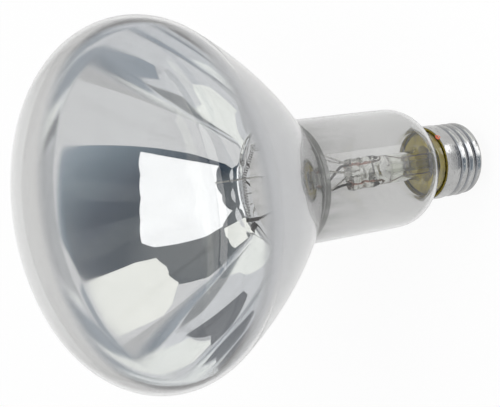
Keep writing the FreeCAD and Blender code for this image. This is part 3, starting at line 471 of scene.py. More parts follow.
def aluminium_finish(cap):
    """Rolled sheet: fine lines round the cap, painted shade in the thread's grooves, scuffed crests and soft
    stains.
    """
    finish = Finish("rolled aluminium", Metallic=1.0)
    lines = finish.noise(700.0, 3.0, 0.6, (0.08, 0.08, 3.0))
    stains = finish.noise(150.0, 5.0, 0.65)
    reach = finish.reach() + stains * (0.3 * MM)
    # Painted shade: the aluminium turns darker towards the root of each groove
    root = 1.0 - reach.band(cap.crest - cap.depth, cap.crest - 0.15 * MM)
    scuffs = finish.noise(900.0, 4.0, 0.7, (0.6, 0.6, 1.6)).band(0.56, 0.68)
    pits = 1.0 - finish.cells(900.0).band(0.05, 0.16)
    worn = stains.band(0.35, 0.7)
    tint = finish.blend(worn * 0.6, cap.aluminium, tinted(cap.aluminium, 0.72))
    # Painted shade in the grooves
    tint = finish.blend(root * 0.8, tint, cap.painted_groove_shade)
    tint = finish.blend(scuffs * 0.5, tint, tinted(cap.aluminium, 0.45))
    finish.set(Base_Color=finish.blend(pits * 0.4, tint, tinted(cap.aluminium, 0.3)),
               Roughness=lines * 0.1 + worn * 0.1 + scuffs * 0.16 + 0.13)
    finish.relief(lines * 0.5 + scuffs * 0.8 - pits, 0.05 * MM, 0.6)
    return finish.material


def cement_finish(cap):
    """Mottled cement; its colour is raised as painted light against the shade inside the neck, and held
    darker at the cap's rim, which lies in the open.
    """
    finish = Finish("baked cement", IOR=1.45)
    tone = finish.noise(230.0, 5.0, 0.62)
    grain = finish.noise(2400.0, 3.0, 0.6)
    # Painted light: inside the neck the cement keeps the raised colour against the shade there; towards the
    # rim, which lies in the open, it turns darker
    rim = finish.reach().band(cap.skirt_radius - 2.0 * MM, cap.skirt_radius - 1.2 * MM)
    tint = finish.blend(tone.band(0.3, 0.55), tinted(cap.cement, 0.5), cap.cement)
    tint = finish.blend(tone.band(0.56, 0.78) * 0.7, tint, tinted(cap.cement, 1.35))
    finish.set(Base_Color=finish.blend(rim, tint, tinted(cap.cement, 0.36)), Roughness=grain * 0.3 + 0.45)
    finish.relief(tone * 2.0 + grain * 0.5, 0.3 * MM, 0.7)
    return finish.material


def grained_finish(name, tints, grain, edges, roughness, relief, **constants):
    """Material with a single grain in its colour, its gloss and its surface.

    Between its two edges, if it has them, the grain turns from the first tint to the second. roughness is the
    grain's share in it and the least, and relief is the grain's depth and strength.
    """
    finish = Finish(name, **constants)
    height = finish.noise(*grain)
    finish.set(Base_Color=finish.blend(height.band(*edges) if edges else height, *tints),
               Roughness=height * roughness[0] + roughness[1])
    finish.relief(height, *relief)
    return finish.material


def brass_finish(cap):
    return grained_finish("stamped brass", (cap.brass, tinted(cap.brass, 0.55)), (500.0, 4.0, 0.6),
                          (0.4, 0.75), (0.25, 0.16), (0.05 * MM, 0.4), Metallic=1.0)


def solder_finish(cap):
    return grained_finish("dull solder", (tinted(cap.solder, 0.7), cap.solder), (1500.0, 4.0, 0.6),
                          None, (0.2, 0.28), (0.08 * MM, 0.6), Metallic=1.0)


def black_glass_finish(cap):
    return grained_finish("black moulded glass", (cap.black_glass, (0.03, 0.028, 0.03)), (260.0, 3.0, 0.5),
                          (0.5, 0.8), (0.12, 0.08), (0.2 * MM, 0.4), IOR=1.5)


def weld_finish(cap):
    bright = tuple(min(1.0, channel * 1.3 + 0.12) for channel in cap.weld)
    return grained_finish("copper weld", (cap.weld, bright), (1700.0, 4.0, 0.65), (0.5, 0.68),
                          (0.3, 0.25), (0.25 * MM, 0.8), Metallic=0.7, IOR=1.45)


def point_at(centre, radius, towards):
    """Point of a circle on the line from its centre towards another point."""
    across, up = towards[0] - centre[0], towards[1] - centre[1]
    apart = math.hypot(across, up)
    return (centre[0] + radius * across / apart, centre[1] + radius * up / apart)


def inner_crossing(first, first_radius, second, second_radius):
    """Crossing of two circles that lies nearer the axis."""
    across, up = second[0] - first[0], second[1] - first[1]
    apart = math.hypot(across, up)
    along = (first_radius**2 - second_radius**2 + apart**2) / (2 * apart)
    aside = math.sqrt(first_radius**2 - along**2)
    middle = (first[0] + along * across / apart, first[1] + along * up / apart)
    return min((middle[0] + s * aside * up / apart, middle[1] - s * aside * across / apart) for s in (1, -1))


def bow(centre, start, end, steps):
    """Points of the shorter arc between two points of a circle, without the last one."""
    radius = math.dist(centre, start)
    first = math.atan2(start[1] - centre[1], start[0] - centre[0])
    sweep = math.remainder(math.atan2(end[1] - centre[1], end[0] - centre[0]) - first, TURN)
    ways = [first + sweep * i / steps for i in range(steps)]
    return [(centre[0] + radius * math.cos(way), centre[1] + radius * math.sin(way)) for way in ways]


def run(start, end, steps):
    """Points of a straight line, without the last one."""
    return [(start[0] + (end[0] - start[0]) * i / steps, start[1] + (end[1] - start[1]) * i / steps)
            for i in range(steps)]


def trim_section(points, low, high):
    """Stretch of a section between two heights, with its ends on those heights."""
    kept = []
    for (across, up), (next_across, next_up) in zip(points, points[1:]):
        for level in (high, low):
            if (up - level) * (next_up - level) < 0:
                way = (level - up) / (next_up - up)
                kept.append((across + way * (next_across - across), level))
        if low < next_up < high:
            kept.append((next_across, next_up))
    return kept


def limited(value):
    return min(1.0, max(0.0, value))


def eased(value):
    """Smooth step from 0 to 1."""
    value = limited(value)
    return value * value * (3 - 2 * value)


def lumps(place, *layers):
    """Uneven height at a place, from layers of noise with a scale and a share each."""
    return sum(noise.noise(place * scale) * height for scale, height in layers)


def polar(way, across, up):
    """Place at an angle about the axis, a radius and a height."""
    return (across * math.cos(way), across * math.sin(way), up)


def revolve(name, section, segments, closed=True, shape=polar):
    """Turn a half section about the axis; ends on the axis become poles, a closed section a ring.

    shape places each point, and takes what polar takes.
    """
    mesh = bmesh.new()
    rings = []
    for across, up in section:
        ways = [TURN * i / segments for i in range(segments)]
        places = [(0.0, 0.0, up)] if across < ON_AXIS else [shape(way, across, up) for way in ways]
        rings.append([mesh.verts.new(place) for place in places])
    pairs = list(zip(rings, rings[1:]))
    if closed:
        pairs.append((rings[-1], rings[0]))
    for first, second in pairs:
        for i in range(segments if len(first) + len(second) > 2 else 0):
            corners = (first[i % len(first)], first[(i + 1) % len(first)],
                       second[(i + 1) % len(second)], second[i % len(second)])
            mesh.faces.new(list(dict.fromkeys(corners)))
    return finished_mesh(name, mesh)


def finished_mesh(name, mesh, sharp=35.0):
    """Turn a bmesh into an object with outward, smooth faces and edges that are crisp past an angle."""
    bmesh.ops.remove_doubles(mesh, verts=mesh.verts, dist=1e-8)
    bmesh.ops.recalc_face_normals(mesh, faces=mesh.faces)
    data = bpy.data.meshes.new(name)
    mesh.to_mesh(data)
    mesh.free()
    data.shade_smooth()
    data.set_sharp_from_angle(angle=math.radians(sharp))
    piece = bpy.data.objects.new(name, data)
    bpy.context.scene.collection.objects.link(piece)
    return piece


def give_material(piece, material):
    piece.data.materials.clear()
    piece.data.materials.append(material)


def fit_piece(piece, material, slot, *nodes):
    """Give a piece its material, let it ride and hide the CAD nodes that it stands for."""
    give_material(piece, material)
    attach(piece, "root")
    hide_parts(*nodes)


def bulb_section(bulb, inset):
    """Half section of the bulb from the middle of its face to its foot, at a depth below the surface."""
    face_centre = (0.0, GLASS_HIGH.z - bulb.face_radius)
    corner_across = GLASS_HIGH.x - bulb.corner_radius
    corner_reach = bulb.face_radius - bulb.corner_radius
    corner_centre = (corner_across, face_centre[1] + math.sqrt(corner_reach**2 - corner_across**2))
    fillet_centre = (bulb.neck_top_radius + bulb.neck_fillet, bulb.neck_top_height)
    reflector_centre = inner_crossing(corner_centre, bulb.reflector_radius - bulb.corner_radius,
                                      fillet_centre, bulb.reflector_radius + bulb.neck_fillet)
    shoulder_centre = (bulb.neck_low_radius - bulb.shoulder_radius, bulb.shoulder_height)
    root_across = bulb.stub_radius + bulb.root_radius
    root_reach = bulb.shoulder_radius + bulb.root_radius
    root_drop = math.sqrt(root_reach**2 - (root_across - shoulder_centre[0])**2)
    root_centre = (root_across, shoulder_centre[1] - root_drop)

    top = (0.0, GLASS_HIGH.z - inset)
    face_end = point_at(face_centre, bulb.face_radius - inset, corner_centre)
    corner_end = point_at(reflector_centre, bulb.reflector_radius - inset, corner_centre)
    reflector_end = point_at(fillet_centre, bulb.neck_fillet + inset, reflector_centre)
    neck_top = (bulb.neck_top_radius - inset, fillet_centre[1])
    neck_low = (bulb.neck_low_radius - inset, shoulder_centre[1])
    shoulder_end = point_at(shoulder_centre, bulb.shoulder_radius - inset, root_centre)
    root_end = (bulb.stub_radius - inset, root_centre[1])
    return [
        *bow(face_centre, top, face_end, 30), *bow(corner_centre, face_end, corner_end, 36),
        *bow(reflector_centre, corner_end, reflector_end, 36),
        *bow(fillet_centre, reflector_end, neck_top, 10), *run(neck_top, neck_low, 16),
        *bow(shoulder_centre, neck_low, shoulder_end, 16),
        *bow(root_centre, shoulder_end, root_end, 8), root_end, (root_end[0], GLASS_LOW.z)]


class HEATLAMP_OT_bulb(bpy.types.Operator):
    """Blow the clear glass bulb and coat its reflector."""

    bl_idname = "heat_lamp.bulb"
    bl_label = "Bulb and mirror"

    def execute(self, context):
        bulb = context.scene.lamp_bulb
        outside, inside = bulb_section(bulb, 0.0), bulb_section(bulb, bulb.wall)
        glass = revolve("blown_bulb", outside + inside[::-1], bulb.segments, closed=False)
        fit_piece(glass, bulb_glass_finish(bulb), "clear_glass", "glass_envelope")

        back, front = [trim_section(bulb_section(bulb, bulb.wall + bulb.mirror_room + depth),
                                    MIRROR_FOOT, bulb.coat_top) for depth in (0.0, bulb.coat)]
        mirror = revolve("reflector_mirror", back + front[::-1], bulb.segments)
        fit_piece(mirror, mirror_finish(bulb), "mirror", "mirror_coating")
        mirror.data.materials.append(mirror_back_finish(bulb))
        for face in mirror.data.polygons:
            outward = face.normal.x * face.center.x + face.normal.y * face.center.y
            face.material_index = 1 if outward > 0 else 0
        return {"FINISHED"}


def stem_section(stem):
    """Half section of the flare and the tube, with a bore that ends under the pinch."""
    top, rim, foot = STEM_HIGH.z, STEM_HIGH.x, STEM_LOW.z
    bore, inner_rim = stem.tube_radius - stem.wall, STEM_HIGH.x - stem.wall
    under_flare = stem.flare_height - stem.wall
    centre = (stem.tube_radius + stem.flare_radius, stem.flare_height + stem.flare_radius)
    tube_start, flare_end = (stem.tube_radius, centre[1]), (centre[0], stem.flare_height)
    bore_start, bore_flare = (bore, centre[1]), (centre[0], under_flare)
    press_start, bore_end = (stem.tube_radius, stem.press_low), (bore, stem.tube_top - bore)
    return [
        *[(stem.tube_radius * way, top) for way in (0.0, 0.3, 0.6, 0.85, 0.97)],
        *run((stem.tube_radius, top - 0.35 * MM), press_start, 40), *run(press_start, tube_start, 10),
        *bow(centre, tube_start, flare_end, 14), flare_end, (rim, stem.flare_height), (rim, foot),
        (inner_rim, foot), (inner_rim, under_flare), *bow(centre, bore_flare, bore_start, 14),
        *run(bore_start, bore_end, 10), *bow((0.0, bore_end[1]), bore_end, (0.0, stem.tube_top), 8),
        (0.0, stem.tube_top)]


def exhaust_section(stem):
    """Half section of a tube that is sealed at its lower end and open in the stem."""
    outside, end = EXHAUST_HIGH.x, stem.tube_top - 0.7 * MM
    inside = outside - stem.exhaust_wall
    tip = EXHAUST_LOW.z
    middle = tip + outside
    return [
        *bow((0.0, middle), (0.0, tip), (outside, middle), 8), *run((outside, middle), (outside, end), 12),
        (outside, end), *run((inside, end), (inside, middle), 12),
        *bow((0.0, middle), (inside, middle), (0.0, middle - inside), 8), (0.0, middle - inside)]


class HEATLAMP_OT_stem(bpy.types.Operator):
    """Press the glass stem and hang the exhaust tube in it."""

    bl_idname = "heat_lamp.stem"
    bl_label = "Stem and exhaust tube"

    def execute(self, context):
        stem = context.scene.lamp_stem

        def pressed(way, across, up):
            """Flatten the upper end of the tube between two jaws."""
            if up <= max(stem.press_low, stem.tube_top):
                return polar(way, across, up)
            reach = across / stem.tube_radius
            ease = eased((up - stem.press_low) / (stem.pinch_low - stem.press_low))
            wide = stem.tube_radius + ease * (stem.pinch_width / 2 - stem.tube_radius)
            thick = stem.tube_radius + ease * (stem.pinch_thickness / 2 - stem.tube_radius)
            # The section is round at first and nearly square where the pinch is flat
            square = 2.0 + 2.2 * ease
            cosine, sine = math.cos(way), math.sin(way)
            out = (abs(cosine)**square + abs(sine)**square)**(-1 / square)
            x, y = wide * out * cosine * reach, thick * out * sine * reach
            # Each jaw leaves a mark in the middle of its flat, and slight ribs across it
            height = (up - stem.pinch_low) / (STEM_HIGH.z - stem.pinch_low)
            mark = math.exp(-((x / (0.24 * stem.pinch_width))**2 + ((height - 0.5) / 0.3)**2)**2)
            rib = 0.1225 * math.sin(height * 9.0 + x / MM * 0.9) * ease
            side = math.copysign(1.0, sine)
            y -= side * abs(sine)**0.5 * reach * ease * stem.press_depth * (mark + rib)
            lump = lumps(Vector((x, y, up)), (300.0, 0.7), (800.0, 0.25)) * MM * ease * reach
            return (x + lump, y + lump * side, up)

        glass = stem_glass_finish(stem)
        pressed_stem = revolve("pressed_stem", stem_section(stem), 96, closed=False, shape=pressed)
        fit_piece(pressed_stem, glass, "stem_glass", "stem_glass")
        exhaust = revolve("sealed_exhaust_tube", exhaust_section(stem), 48, closed=False)
        fit_piece(exhaust, glass, "stem_glass", "exhaust_tube")
        return {"FINISHED"}


class HEATLAMP_OT_wires(bpy.types.Operator):
    """Finish the lead, seal and support wires."""

    bl_idname = "heat_lamp.wires"
    bl_label = "Wires"

    def execute(self, context):
        stem = context.scene.lamp_stem
        finishes = {
            "inner_lead": wire_finish("oxidised nickel", stem.nickel, 0.45, 0.3),
            "support_wire": wire_finish("molybdenum wire", stem.molybdenum, 0.6, 0.18),
            "seal_wire": wire_finish("sealed copper skin", stem.sleeve, 0.8, 0.25),
            "outer_lead": wire_finish("tarnished copper", stem.copper, 0.5, 0.3)}
        for node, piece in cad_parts.items():
            for kind, material in finishes.items():
                if node.startswith(kind):
                    give_material(piece, material)
        return {"FINISHED"}


def coil_tree(material):
    """Geometry nodes that wind a wire along a path, whose corners are rounded first."""
    tree = bpy.data.node_groups.new("Wound coil", "GeometryNodeTree")
    tree.interface.new_socket("Geometry", in_out="OUTPUT", socket_type="NodeSocketGeometry")
    inputs = {"Path": "Geometry", "Bend": "Float", "Winding radius": "Float", "Step": "Float",
              "Wire radius": "Float", "Points per turn": "Int", "Sides": "Int"}
    for name, kind in inputs.items():
        tree.interface.new_socket(name, in_out="INPUT", socket_type=f"NodeSocket{kind}")
    nodes = Nodes(tree, "NodeGroupOutput")
    given = nodes.node("NodeGroupInput").outputs
    path = nodes.node("GeometryNodeMeshToCurve", {"Mesh": given["Path"]})
    bent = nodes.node("GeometryNodeFilletCurve", {"Curve": path, "Count": 8, "Radius": given["Bend"]},
                      mode="POLY")
    divided = nodes.node("GeometryNodeResampleCurve", {"Curve": bent, "Length": given["Step"]}, mode="LENGTH")
    turn = nodes.channel("GeometryNodeInputIndex") / given["Points per turn"] * TURN
    aside = turn.through("COSINE") * given["Winding radius"]
    above = turn.through("SINE") * given["Winding radius"]
    sideways = nodes.vectors("CROSS_PRODUCT", nodes.node("GeometryNodeInputTangent"), (0.0, 0.0, 1.0))
    sideways = nodes.vectors("MULTIPLY", sideways, nodes.node("ShaderNodeCombineXYZ", {0: aside, 1: aside}))
    offset = nodes.vectors("ADD", sideways, nodes.node("ShaderNodeCombineXYZ", {2: above}))
    wound = nodes.node("GeometryNodeSetPosition", {"Geometry": divided, "Offset": offset})
    ring = nodes.node("GeometryNodeCurvePrimitiveCircle", {
        "Resolution": given["Sides"], "Radius": given["Wire radius"]})
    wire = nodes.node("GeometryNodeCurveToMesh", {"Curve": wound, "Profile Curve": ring, "Fill Caps": True})
    real = nodes.node("GeometryNodeRealizeInstances", {"Geometry": wire})
    nodes.result(nodes.node("GeometryNodeSetMaterial", {"Geometry": real, "Material": material}))
    return tree


def coil_path(coil, height):
    """Clamped end of the coil, its corners at the hooks and its last end."""
    between = coil.hook_step / 2
    corner = coil.ring_radius + coil.bend * (1 / math.cos(between) - 1)
    ways = [coil.clamp_angle - coil.hook_step * (i + 1) for i in range(coil.hooks)]
    corners = [Vector(polar(way, corner, height)) for way in ways]
    clamp = Vector(polar(coil.clamp_angle, coil.clamp_reach, height))
    first = clamp + (corners[0] - clamp).normalized() * coil.clamp_room
    onward = (corners[-1] - corners[-2]).normalized()
    onward.rotate(Matrix.Rotation(-coil.hook_step, 3, "Z"))
    return [first, *corners, corners[-1] + onward * coil.last_length]


class HEATLAMP_OT_filament(bpy.types.Operator):
    """Wind the filament's coil."""

    bl_idname = "heat_lamp.filament"
    bl_label = "Filament"

    def execute(self, context):
        coil = context.scene.lamp_filament
        tungsten = wire_finish("drawn tungsten", coil.tungsten, 0.55, 0.2)
        tree = coil_tree(tungsten)
        half = (RING_HIGH.z - RING_LOW.z) / 2
        values = {
            "Bend": coil.bend, "Winding radius": half - coil.wire_radius, "Wire radius": coil.wire_radius,
            "Step": coil.turn_pitch / coil.steps, "Points per turn": coil.steps, "Sides": coil.sides}
        points = coil_path(coil, RING_LOW.z + half)
        path = bpy.data.meshes.new("coil path")
        path.from_pydata(points, [(i, i + 1) for i in range(len(points) - 1)], [])
        carrier = bpy.data.objects.new("coil path", path)
        context.scene.collection.objects.link(carrier)
        winder = carrier.modifiers.new("Coil", "NODES")
        winder.node_group = tree
        for item in tree.interface.items_tree:
            if item.in_out == "INPUT" and item.name in values:
                winder[item.identifier] = values[item.name]
        context.view_layer.update()
        wound = bpy.data.meshes.new_from_object(carrier.evaluated_get(context.evaluated_depsgraph_get()))
        carrier.modifiers.clear()
        bpy.data.objects.remove(carrier)
        mesh = bmesh.new()
        mesh.from_mesh(wound)
        filament = finished_mesh("coiled_filament", mesh, sharp=80.0)
        fit_piece(filament, tungsten, "tungsten", "filament")
        return {"FINISHED"}


def shell_radius(cap, way, up):
    """Outside radius of the cap's shell at an angle and a height."""
    step = cap.skirt_radius - cap.crest
    radius = cap.crest + step * eased((up - cap.skirt_low + step) / step)
    turn_here = way / TURN
    half = cap.groove / 2
    nearest = round((up - cap.thread_low) / cap.pitch - turn_here)
    for lap in (nearest - 1, nearest, nearest + 1):
        along = turn_here + lap
        fade = limited(along / cap.run_in) * limited((cap.turns + cap.run_out - along) / cap.run_out)
        off = abs(up - cap.thread_low - cap.pitch * along)
        if off < half:
            radius -= cap.depth * fade * (1 + math.cos(math.pi * off / half)) / 2
    drop = SHELL_LOW.z + cap.corner - up
    if drop > 0:
        radius = min(radius, cap.crest - cap.corner + math.sqrt(max(0.0, cap.corner**2 - drop**2)))
    return radius


class HEATLAMP_OT_cap(bpy.types.Operator):
    """Roll the screw shell and fill its end with the insulator and the contact."""

    bl_idname = "heat_lamp.cap"
    bl_label = "Screw cap"

    def execute(self, context):
        cap = context.scene.lamp_cap
        self.add_shell(cap)
        self.add_insulator(cap)
        self.add_contact(cap)
        self.add_solder(cap)
        return {"FINISHED"}

    def add_shell(self, cap):
        """Roll the shell; points at a mark take their radius from the thread and the skirt."""
        low, rim = SHELL_LOW.z, SHELL_HIGH.z
        turned_in, sheet_top = cap.crest - cap.corner, low + cap.sheet
        round_rows, wall_rows = 8, 96
        bead = 0.12 * MM
        lip = bead * 0.3
        outer_mark, inner_mark = cap.crest * 2, cap.crest * 1.5
        ways = [math.pi / 2 * i / round_rows for i in range(1, round_rows)]
        heights = [low + cap.corner * (1 - math.cos(way)) for way in ways]
        heights += [low + cap.corner + (rim - low - cap.corner) * i / wall_rows for i in range(wall_rows + 1)]
        section = [
            (cap.opening, low), (turned_in, low), *[(outer_mark, up) for up in heights[:-1]],
            (outer_mark, rim - bead), (cap.skirt_radius - lip, rim - lip),
            (cap.skirt_radius - cap.sheet / 2, rim), (cap.skirt_radius - cap.sheet + lip, rim - lip),
            *[(inner_mark, up) for up in reversed(heights[2:-1])], (turned_in, sheet_top),
            (cap.opening, sheet_top)]

        def rolled(way, across, up):
            if across >= inner_mark:
                sheet = 0.0 if across >= outer_mark else cap.sheet
                across = shell_radius(cap, way, up) - sheet
            return polar(way, across, up)

        shell = revolve("rolled_shell", section, 192, shape=rolled)
        fit_piece(shell, aluminium_finish(cap), "aluminium", "cap_shell")

    def add_insulator(self, cap):
        low, end, top, lip = SHELL_LOW.z, INSULATOR_LOW.z, INSULATOR_HIGH.z, INSULATOR_HIGH.x
        eyelet, sheet_top = cap.eyelet + cap.contact_sheet, low + cap.sheet
        over_contact = CONTACT_HIGH.z + cap.sheet
        cone = bow((cap.nose + 9.0 * MM, end - 1.2 * MM), (cap.nose + 0.12 * MM, end + 0.7 * MM),
                   (cap.opening - 0.25 * MM, low - 0.1 * MM), 10)
        section = [
            (eyelet, end), (cap.contact - 0.1 * MM, end), (cap.nose - 0.2 * MM, end + 0.05 * MM),
            (cap.nose, end + 0.3 * MM), *cone[1:], (cap.opening - 0.05 * MM, low + 0.02 * MM),
            (cap.opening, sheet_top), (lip, sheet_top), (lip, top), (cap.nose, over_contact),
            (eyelet, over_contact)]

        def ribbed(way, across, up):
            """Shallow moulded flutes on the cone."""
            if cap.nose < across < cap.opening - 0.3 * MM and up < low:
                across -= cap.flute_depth * (0.5 + 0.5 * math.cos(cap.flutes * way))
            return polar(way, across, up)

        insulator = revolve("moulded_insulator", section, 144, shape=ribbed)
        fit_piece(insulator, black_glass_finish(cap), "black_glass", "cap_insulator")

    def add_contact(self, cap):
        end, plane, top, sheet = INSULATOR_LOW.z, CONTACT_LOW.z, CONTACT_HIGH.z, cap.contact_sheet
        flat = cap.contact - (end - plane)
        corner = bow((flat - 0.1 * MM, end - 0.1 * MM), (flat + 0.55 * MM, plane + 0.35 * MM),
                     (cap.contact - 0.02 * MM, end - sheet), 5)
        section = [
            (cap.eyelet, plane + 0.1 * MM), (cap.eyelet + 0.1 * MM, plane), (flat - 0.3 * MM, plane),
            (flat, plane + 0.05 * MM), *corner, (cap.contact, end - sheet * 0.8),
            (cap.contact, end - 0.05 * MM), (cap.contact - 0.06 * MM, end), (cap.contact - sheet, end),
            (flat, plane + sheet), (cap.eyelet + sheet, plane + sheet), (cap.eyelet + sheet, top),
            (cap.eyelet, top)]
        contact = revolve("contact_plate", section, 96)
        fit_piece(contact, brass_finish(cap), "brass", "centre_contact")

    def add_solder(self, cap):
        plane, reach, tip, top = CONTACT_LOW.z, SOLDER_HIGH.x, SOLDER_LOW.z, SOLDER_HIGH.z
        rows = (0.0, 0.15, 0.3, 0.45, 0.6, 0.75, 0.88, 0.96)
        section = [
            *[(reach * way, plane - (plane - tip) * (1 - way**2)**0.7) for way in rows],
            (reach, plane - 0.01 * MM), (reach, plane), (cap.eyelet, plane), (cap.eyelet, top), (0.0, top)]

        def lumpy(way, across, up):
            """Uneven side of the dome."""
            if across > cap.eyelet and up < plane - 0.02 * MM:
                across *= 1 - 0.1 * noise.noise(Vector((math.cos(way) * 2, math.sin(way) * 2, up * 900)))
            return polar(way, across, up)

        solder = revolve("solder_dome", section, 48, closed=False, shape=lumpy)
        fit_piece(solder, solder_finish(cap), "solder", "centre_solder")


class HEATLAMP_OT_cement(bpy.types.Operator):
    """Fill the cap with basing cement and weld the side lead to the rim."""

    bl_idname = "heat_lamp.cement"
    bl_label = "Cement and weld"

    def execute(self, context):
        cap = context.scene.lamp_cap
        self.add_cement(cap, context.scene.lamp_bulb, context.scene.lamp_stem)
        self.add_weld(cap)
        return {"FINISHED"}

    def add_cement(self, cap, bulb, stem):
        top, low, foot = CEMENT_HIGH.z, CEMENT_LOW.z, GLASS_LOW.z
        skirt_inside = cap.skirt_radius - cap.sheet
        root_inside = cap.crest - cap.depth - cap.sheet
        under_flare = stem.flare_height - stem.wall
        rim_inside = STEM_HIGH.x - stem.wall
        bore, stub = cap.cement_bore, bulb.stub_radius
        section = [
            (skirt_inside, top - 0.1 * MM), ((skirt_inside + stub) / 2, top), (stub, top - 0.05 * MM),
            *run((stub, top - 0.3 * MM), (stub, foot), 6), (stub, foot), (rim_inside, foot),
            (rim_inside, under_flare),
            *run((rim_inside - 0.5 * MM, under_flare), (bore + 0.6 * MM, under_flare - 0.15 * MM), 8),
            (bore, under_flare - 0.7 * MM), *run((bore, under_flare - 1.2 * MM), (bore, low + 0.5 * MM), 8),
            (bore + 0.5 * MM, low), (root_inside - 0.3 * MM, low), (root_inside, low + 0.3 * MM),
            (root_inside, cap.skirt_low - 0.6 * MM), (skirt_inside, cap.skirt_low)]

        def rough(way, across, up):
            """Uneven surface where the cement lies open."""
            lump = lumps(Vector(polar(way, across, up)), (330.0, 0.6), (900.0, 0.3))
            if across <= (bore + rim_inside) / 2 and up < under_flare + 0.05 * MM:
                across += lump * 0.35 * MM
                up = min(up, under_flare - 0.02 * MM) if up > under_flare - 0.3 * MM else up
            if bore < across < rim_inside - 0.1 * MM and up > foot:
                up -= (0.5 + lump) * 0.12 * MM
            if up > top - 0.12 * MM:
                up += lump * 0.1 * MM - 0.02 * MM
            return polar(way, across, up)

        cement = revolve("baked_cement", section, 144, shape=rough)
        fit_piece(cement, cement_finish(cap), "cement", "basing_cement")

    def add_weld(self, cap):
        centre, half = (WELD_LOW + WELD_HIGH) / 2, (WELD_HIGH - WELD_LOW) / 2
        outward = Vector((centre.x, centre.y, 0.0)).normalized()
        sideways = Vector((-outward.y, outward.x, 0.0))
        curl, wire = 0.62 * half.z, 0.3 * half.z
        section = [(curl + wire * math.cos(TURN * i / 16), wire * math.sin(TURN * i / 16)) for i in range(16)]

        def curled(way, across, up):
            """End of the lead, curled flat against the skirt and crusted by the weld."""
            flat = sideways * math.cos(way) + Vector((0.0, 0.0, math.sin(way)))
            swell = 1 + lumps((flat * across + outward * up) / half.z, (2.1, 0.3), (6.0, 0.12))
            return centre + flat * (curl + (across - curl) * swell) + outward * up * swell

        weld = revolve("copper_weld", section, 40, shape=curled)
        fit_piece(weld, weld_finish(cap), "copper", "side_weld")


def direction(azimuth, elevation):
    """Unit vector towards a place on the surroundings, both angles in degrees."""
    way, lift = math.radians(azimuth), math.radians(elevation)
    return Vector(polar(way, math.cos(lift), math.sin(lift)))


def plain(tint):
    """Tints of a board with a single colour."""
    return [(0.0, tint), (1.0, tint)]


class Board(Look):
    """Lit board in the studio that only reflections show.

    Each tint is paired with the height at which it holds, measured upwards and leaning towards +X by a share.
    """

    def __init__(self, name, mesh, tints, lean=0.0):
        super().__init__(name)
        self.piece = finished_mesh(name, mesh, sharp=180.0)
        self.piece.data.materials.append(self.material)
        for ray in ("camera", "diffuse", "shadow", "volume_scatter"):
            setattr(self.piece, f"visible_{ray}", False)
        low, span = tints[0][0], tints[-1][0] - tints[0][0]
        across, _, up = self.axes()
        strength = max(max(tint) for _, tint in tints)
        ramp = self.node("ShaderNodeValToRGB", {0: (up + across * lean - low) / span})
        stops = ramp.color_ramp.elements
        while len(stops) < len(tints):
            stops.new(1.0)
        for stop, (height, tint) in zip(stops, tints):
            stop.position = (height - low) / span
            stop.color = (*tinted(tint, 1 / strength), 1.0)
        self.light = self.node("ShaderNodeEmission", {"Color": ramp, "Strength": strength})
        self.clear = self.node("ShaderNodeBsdfTransparent")

    def ray(self, measure):
        return Channel(self, self.node("ShaderNodeLightPath").outputs[measure])


def studio_board(name, corners, tints, distance=2.8, once=1.0, more=0.2, lean=0.0):
    """Hang a curved board in the studio.

    Its corners are directions from the studio's middle, in degrees. Each tint is paired with the rise at
    which it holds, as a share of the distance. once and more are the shares of the board that show when its
    light has met the mirror one time or more. The rest is pale, or clear where once is 0.
    """
    mesh = bmesh.new()
    edge = []
    for start, end in zip(corners, corners[1:] + corners[:1]):
        edge += [mesh.verts.new(direction(*way)) for way in run(start, end, 6)]
    bmesh.ops.triangulate(mesh, faces=[mesh.faces.new(edge)])
    bmesh.ops.subdivide_edges(mesh, edges=mesh.edges, cuts=7, use_grid_fill=True)
    for vert in mesh.verts:
        vert.co = BOARD_CENTRE + vert.co.normalized() * distance
    board = Board(name, mesh, [(BOARD_CENTRE.z + distance * rise, tint) for rise, tint in tints], lean)
    missing = board.node("ShaderNodeEmission", {"Strength": 1.1}) if once else board.clear
    # The depth is 1 at the first meeting with the mirror and 2 at the next
    left = once + board.ray("Glossy Depth").band(1.4, 1.6) * (more - once)
    board.mixed_result(left, missing, board.light)


def low_card(name, ways, first, last, tint):
    """Set up a curved card close to the lamp, for the gloss of the neck and the cap.

    It spans two directions and reaches from one distance and height to another, in millimetres. Only what
    stands near it reflects it.
    """
    mesh = bmesh.new()
    steps = [ways[0] + (ways[1] - ways[0]) * i / 8 for i in range(9)]
    edge = []
    for row, (reach, height) in ((steps, first), (reversed(steps), last)):
        edge += [(direction(way, 0) * reach + Vector((0, 0, height))) * MM for way in row]
    mesh.faces.new([mesh.verts.new(place) for place in edge])
    card = Board(name, mesh, plain(tint))
    too_far = card.ray("Ray Length").band(0.97 * CARD_REACH, CARD_REACH)
    card.mixed_result(too_far, card.light, card.clear)
    card.piece.visible_transmission = False


